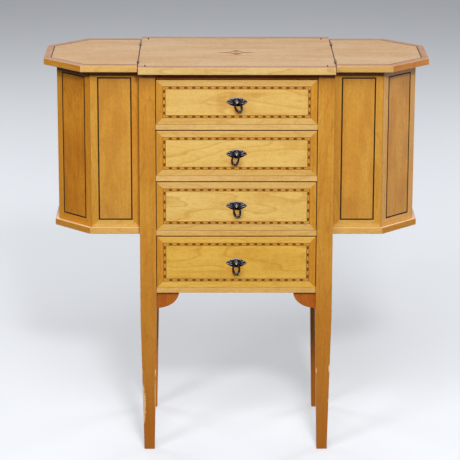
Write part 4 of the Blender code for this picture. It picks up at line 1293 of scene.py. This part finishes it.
def dress_top():
    """Lay the centre top's crossband, strings and edge veneer, and dark strips of painted shade in its joints
    with the lids.
    """
    low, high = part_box("centre_top")
    corners = level_strip(low.x, high.x, low.y, high.y, high.z)
    border = Veneer("red_band")
    border.frame(corners, UP, EDGE_INSET, TOP_STRING_INSET, ("red_band", None) * 2)
    border.done("top_crossband", "case")
    strings = Veneer("dark_string_top")
    strings.frame(corners, UP, TOP_STRING_INSET, TOP_STRING_INSET + TOP_STRING, ("dark_string_top", None) * 2,
                  BLOCK_PROUD)
    strings.done("top_strings", "case")
    edging = Veneer("edge_band", "joint_wood", "gap_shade_wood")
    edging.edge(corners + corners[:1], low.z, high.z, 1, ("edge_band", "joint_wood") * 2)
    for y_side in (-1, 1):
        under = level_strip(low.x, high.x, y_side * high.y, y_side * (high.y - LIPPING_WIDTH), low.z)
        edging.lay(under, -UP, (1.0, 0.0, 0.0), "edge_band", LIPPING)
    for side, x_side in SIDES:
        lid_low, lid_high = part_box(f"lid_{side}")
        ends = [lid_low.y]
        for end in ("front", "rear"):
            ends += [corner.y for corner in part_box(f"hinge_{side}_{end}_top_leaf")]
        ends = [Vector((x_side * high.x, y, 0.0)) for y in (*ends, lid_high.y)]
        for start, end in zip(ends[::2], ends[1::2]):
            strip = upright_strip(start, end, low.z + EDGE_INSET, high.z - JOINT_DROP)
            edging.lay(strip, Vector((x_side, 0.0, 0.0)), (0.0, 1.0, 0.0), "gap_shade_wood", JOINT_REACH)
    edging.done("top_edging", "case")


def bell(x, half_depth):
    """Give half the depth of a bell-shaped figure at a place along it."""
    return half_depth * math.exp(-(x / STAR_SPREAD) ** 2)


def star_half_depth(x):
    """Give half the depth of the star: a bell that runs out in a spike at each side."""
    return bell(x, STAR_HALF_DEPTH) + STAR_ROOT * (1 - (x / STAR_REACH) ** 2)


def field_half_depth(x):
    """Give half the depth of the pale field inside the star's outline."""
    return bell(x, FIELD_HALF_DEPTH)


def heart_half_depth(x):
    """Give half the depth of the red lens in the star's middle."""
    return HEART_HALF_DEPTH * math.sqrt(max(0.0, 1 - (x / HEART_REACH) ** 2))


def make_star():
    """Let a star into the centre top: a dark outline, a pale field and a red lens in its middle."""
    middle = Vector((0.0, PATTERN_PLACE[1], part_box("centre_top")[1].z))
    layers = (("outline", STAR_REACH, star_half_depth, VENEER_PROUD, "dark_string_top"),
              ("field", FIELD_REACH, field_half_depth, BLOCK_PROUD, "star_pale"),
              ("heart", HEART_REACH, heart_half_depth, HEART_PROUD, "star_red"))
    for layer, reach, half_depth, height, finish in layers:
        rings = []
        for step in range(STAR_STEPS + 1):
            x = -reach * math.cos(math.pi * step / STAR_STEPS)
            depth = half_depth(x) + VENEER_BED
            section = ((-depth, -VENEER_BED), (depth, -VENEER_BED), (depth, height), (-depth, height))
            rings.append([middle + Vector((x, y, z)) for y, z in section])
        name = f"top_star_{layer}"
        mesh_piece(name, as_mesh(name, solid(rings)), (finish,), "case", "veneer")


def set_lid_rests():
    """Set four small dark studs in the centre top, for the folded lids to rest on."""
    low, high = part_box("centre_top")
    profile = [(REST_RADIUS * REST_NECK, -REST_HEIGHT), (REST_RADIUS * REST_NECK, 0.0),
               (REST_RADIUS, REST_HEIGHT * REST_BELLY)]
    for step in range(REST_STEPS):
        turn = math.pi / 2 * step / REST_STEPS
        dome = REST_SHOULDER + (1 - REST_SHOULDER) * math.sin(turn)
        profile.append((REST_RADIUS * math.cos(turn), REST_HEIGHT * dome))
    turns = [2 * math.pi * step / REST_SIDES for step in range(REST_SIDES)]
    stud = solid([[(radius * math.cos(turn), radius * math.sin(turn), height) for turn in turns]
                  for radius, height in profile])
    rests = grow(make_corner_tree(), {
        "Middle": (*PATTERN_PLACE, high.z), "Width": high.x - low.x - 2 * REST_INSET_X,
        "Depth": high.y - low.y - 2 * REST_INSET_Y, "Finish": FINISHES["black_iron"],
    }, as_mesh("lid_rest", stud))
    smooth(mesh_piece("top_lid_rests", rests, ("black_iron",), "case", "iron"))


# Stage

def seen_directly(tree):
    """Tell whether the camera or a reflection sees a surface."""
    path = add(tree, "ShaderNodeLightPath").outputs
    return sums(tree, "MAXIMUM", path["Is Camera Ray"], path["Is Glossy Ray"])


def make_stage():
    """Set a pale floor under the cabinet."""
    shape = bmesh.new()
    bmesh.ops.create_grid(shape, x_segments=1, y_segments=1, size=FLOOR_SIZE)
    floor = place_object("floor", as_mesh("floor", shape))
    material = bpy.data.materials.new("pale_floor")
    material.use_nodes = True
    tree = material.node_tree
    shader = tree.nodes["Principled BSDF"]
    shader.inputs["Roughness"].default_value = FLOOR_ROUGHNESS
    seen = seen_directly(tree)
    tree.links.new(blend(tree, seen, colour(*FLOOR_BOUNCE), colour(*FLOOR_SEEN)), shader.inputs["Base Color"])
    shader.inputs["Emission Color"].default_value = colour(*FLOOR_SEEN)
    tree.links.new(sums(tree, "MULTIPLY", seen, FLOOR_LIFT), shader.inputs["Emission Strength"])
    floor.data.materials.append(material)


def light_the_stage():
    """Light the cabinet softly from above and in front, in a pale room."""
    for name, place, aim, width, height, power in LAMPS:
        lamp = bpy.data.lights.new(name, "AREA")
        lamp.shape = "RECTANGLE"
        lamp.size = width
        lamp.size_y = height
        lamp.energy = power
        holder = place_object(name, lamp)
        holder.location = place
        holder.rotation_euler = (Vector(aim) - Vector(place)).to_track_quat("-Z", "Y").to_euler()
        holder.visible_camera = False
    world = bpy.data.worlds.new("pale_room")
    bpy.context.scene.world = world
    world.use_nodes = True
    tree = world.node_tree
    room = tree.nodes["Background"]
    room.inputs["Color"].default_value = colour(*ROOM)
    strength = ramp_linear(tree, seen_directly(tree), 0.0, 1.0, ROOM_LIGHT, ROOM_SEEN)
    tree.links.new(strength, room.inputs["Strength"])


def set_camera():
    """Stand the camera where the photograph was taken."""
    level = math.cos(CAMERA_PITCH)
    forward = Vector((math.sin(CAMERA_YAW) * level, math.cos(CAMERA_YAW) * level, math.sin(CAMERA_PITCH)))
    right = Vector((math.cos(CAMERA_YAW), -math.sin(CAMERA_YAW), 0.0))
    up = right.cross(forward)
    rolled_right = right * math.cos(CAMERA_ROLL) + up * math.sin(CAMERA_ROLL)
    rolled_up = up * math.cos(CAMERA_ROLL) - right * math.sin(CAMERA_ROLL)
    data = bpy.data.cameras.new("camera")
    data.sensor_width = SENSOR_WIDTH
    data.lens = LENS
    camera = place_object("camera", data)
    turn = Matrix((rolled_right, rolled_up, -forward)).transposed().to_4x4()
    camera.matrix_world = Matrix.Translation(CAMERA_PLACE) @ turn
    bpy.context.scene.camera = camera


dress_frame()
smooth_hinges()
blocks = make_block_tree()
dovetails = make_stack_tree()
for number in DRAWERS:
    dress_drawer(number, blocks)
    dovetail_drawer(number, dovetails)
    make_pull(number)
for side, x_side in SIDES:
    dress_wing(side, x_side)
    dress_lid(side, x_side)
dress_top()
make_star()
set_lid_rests()
make_stage()
light_the_stage()
set_camera()
bpy.context.scene.view_settings.view_transform = "Standard"
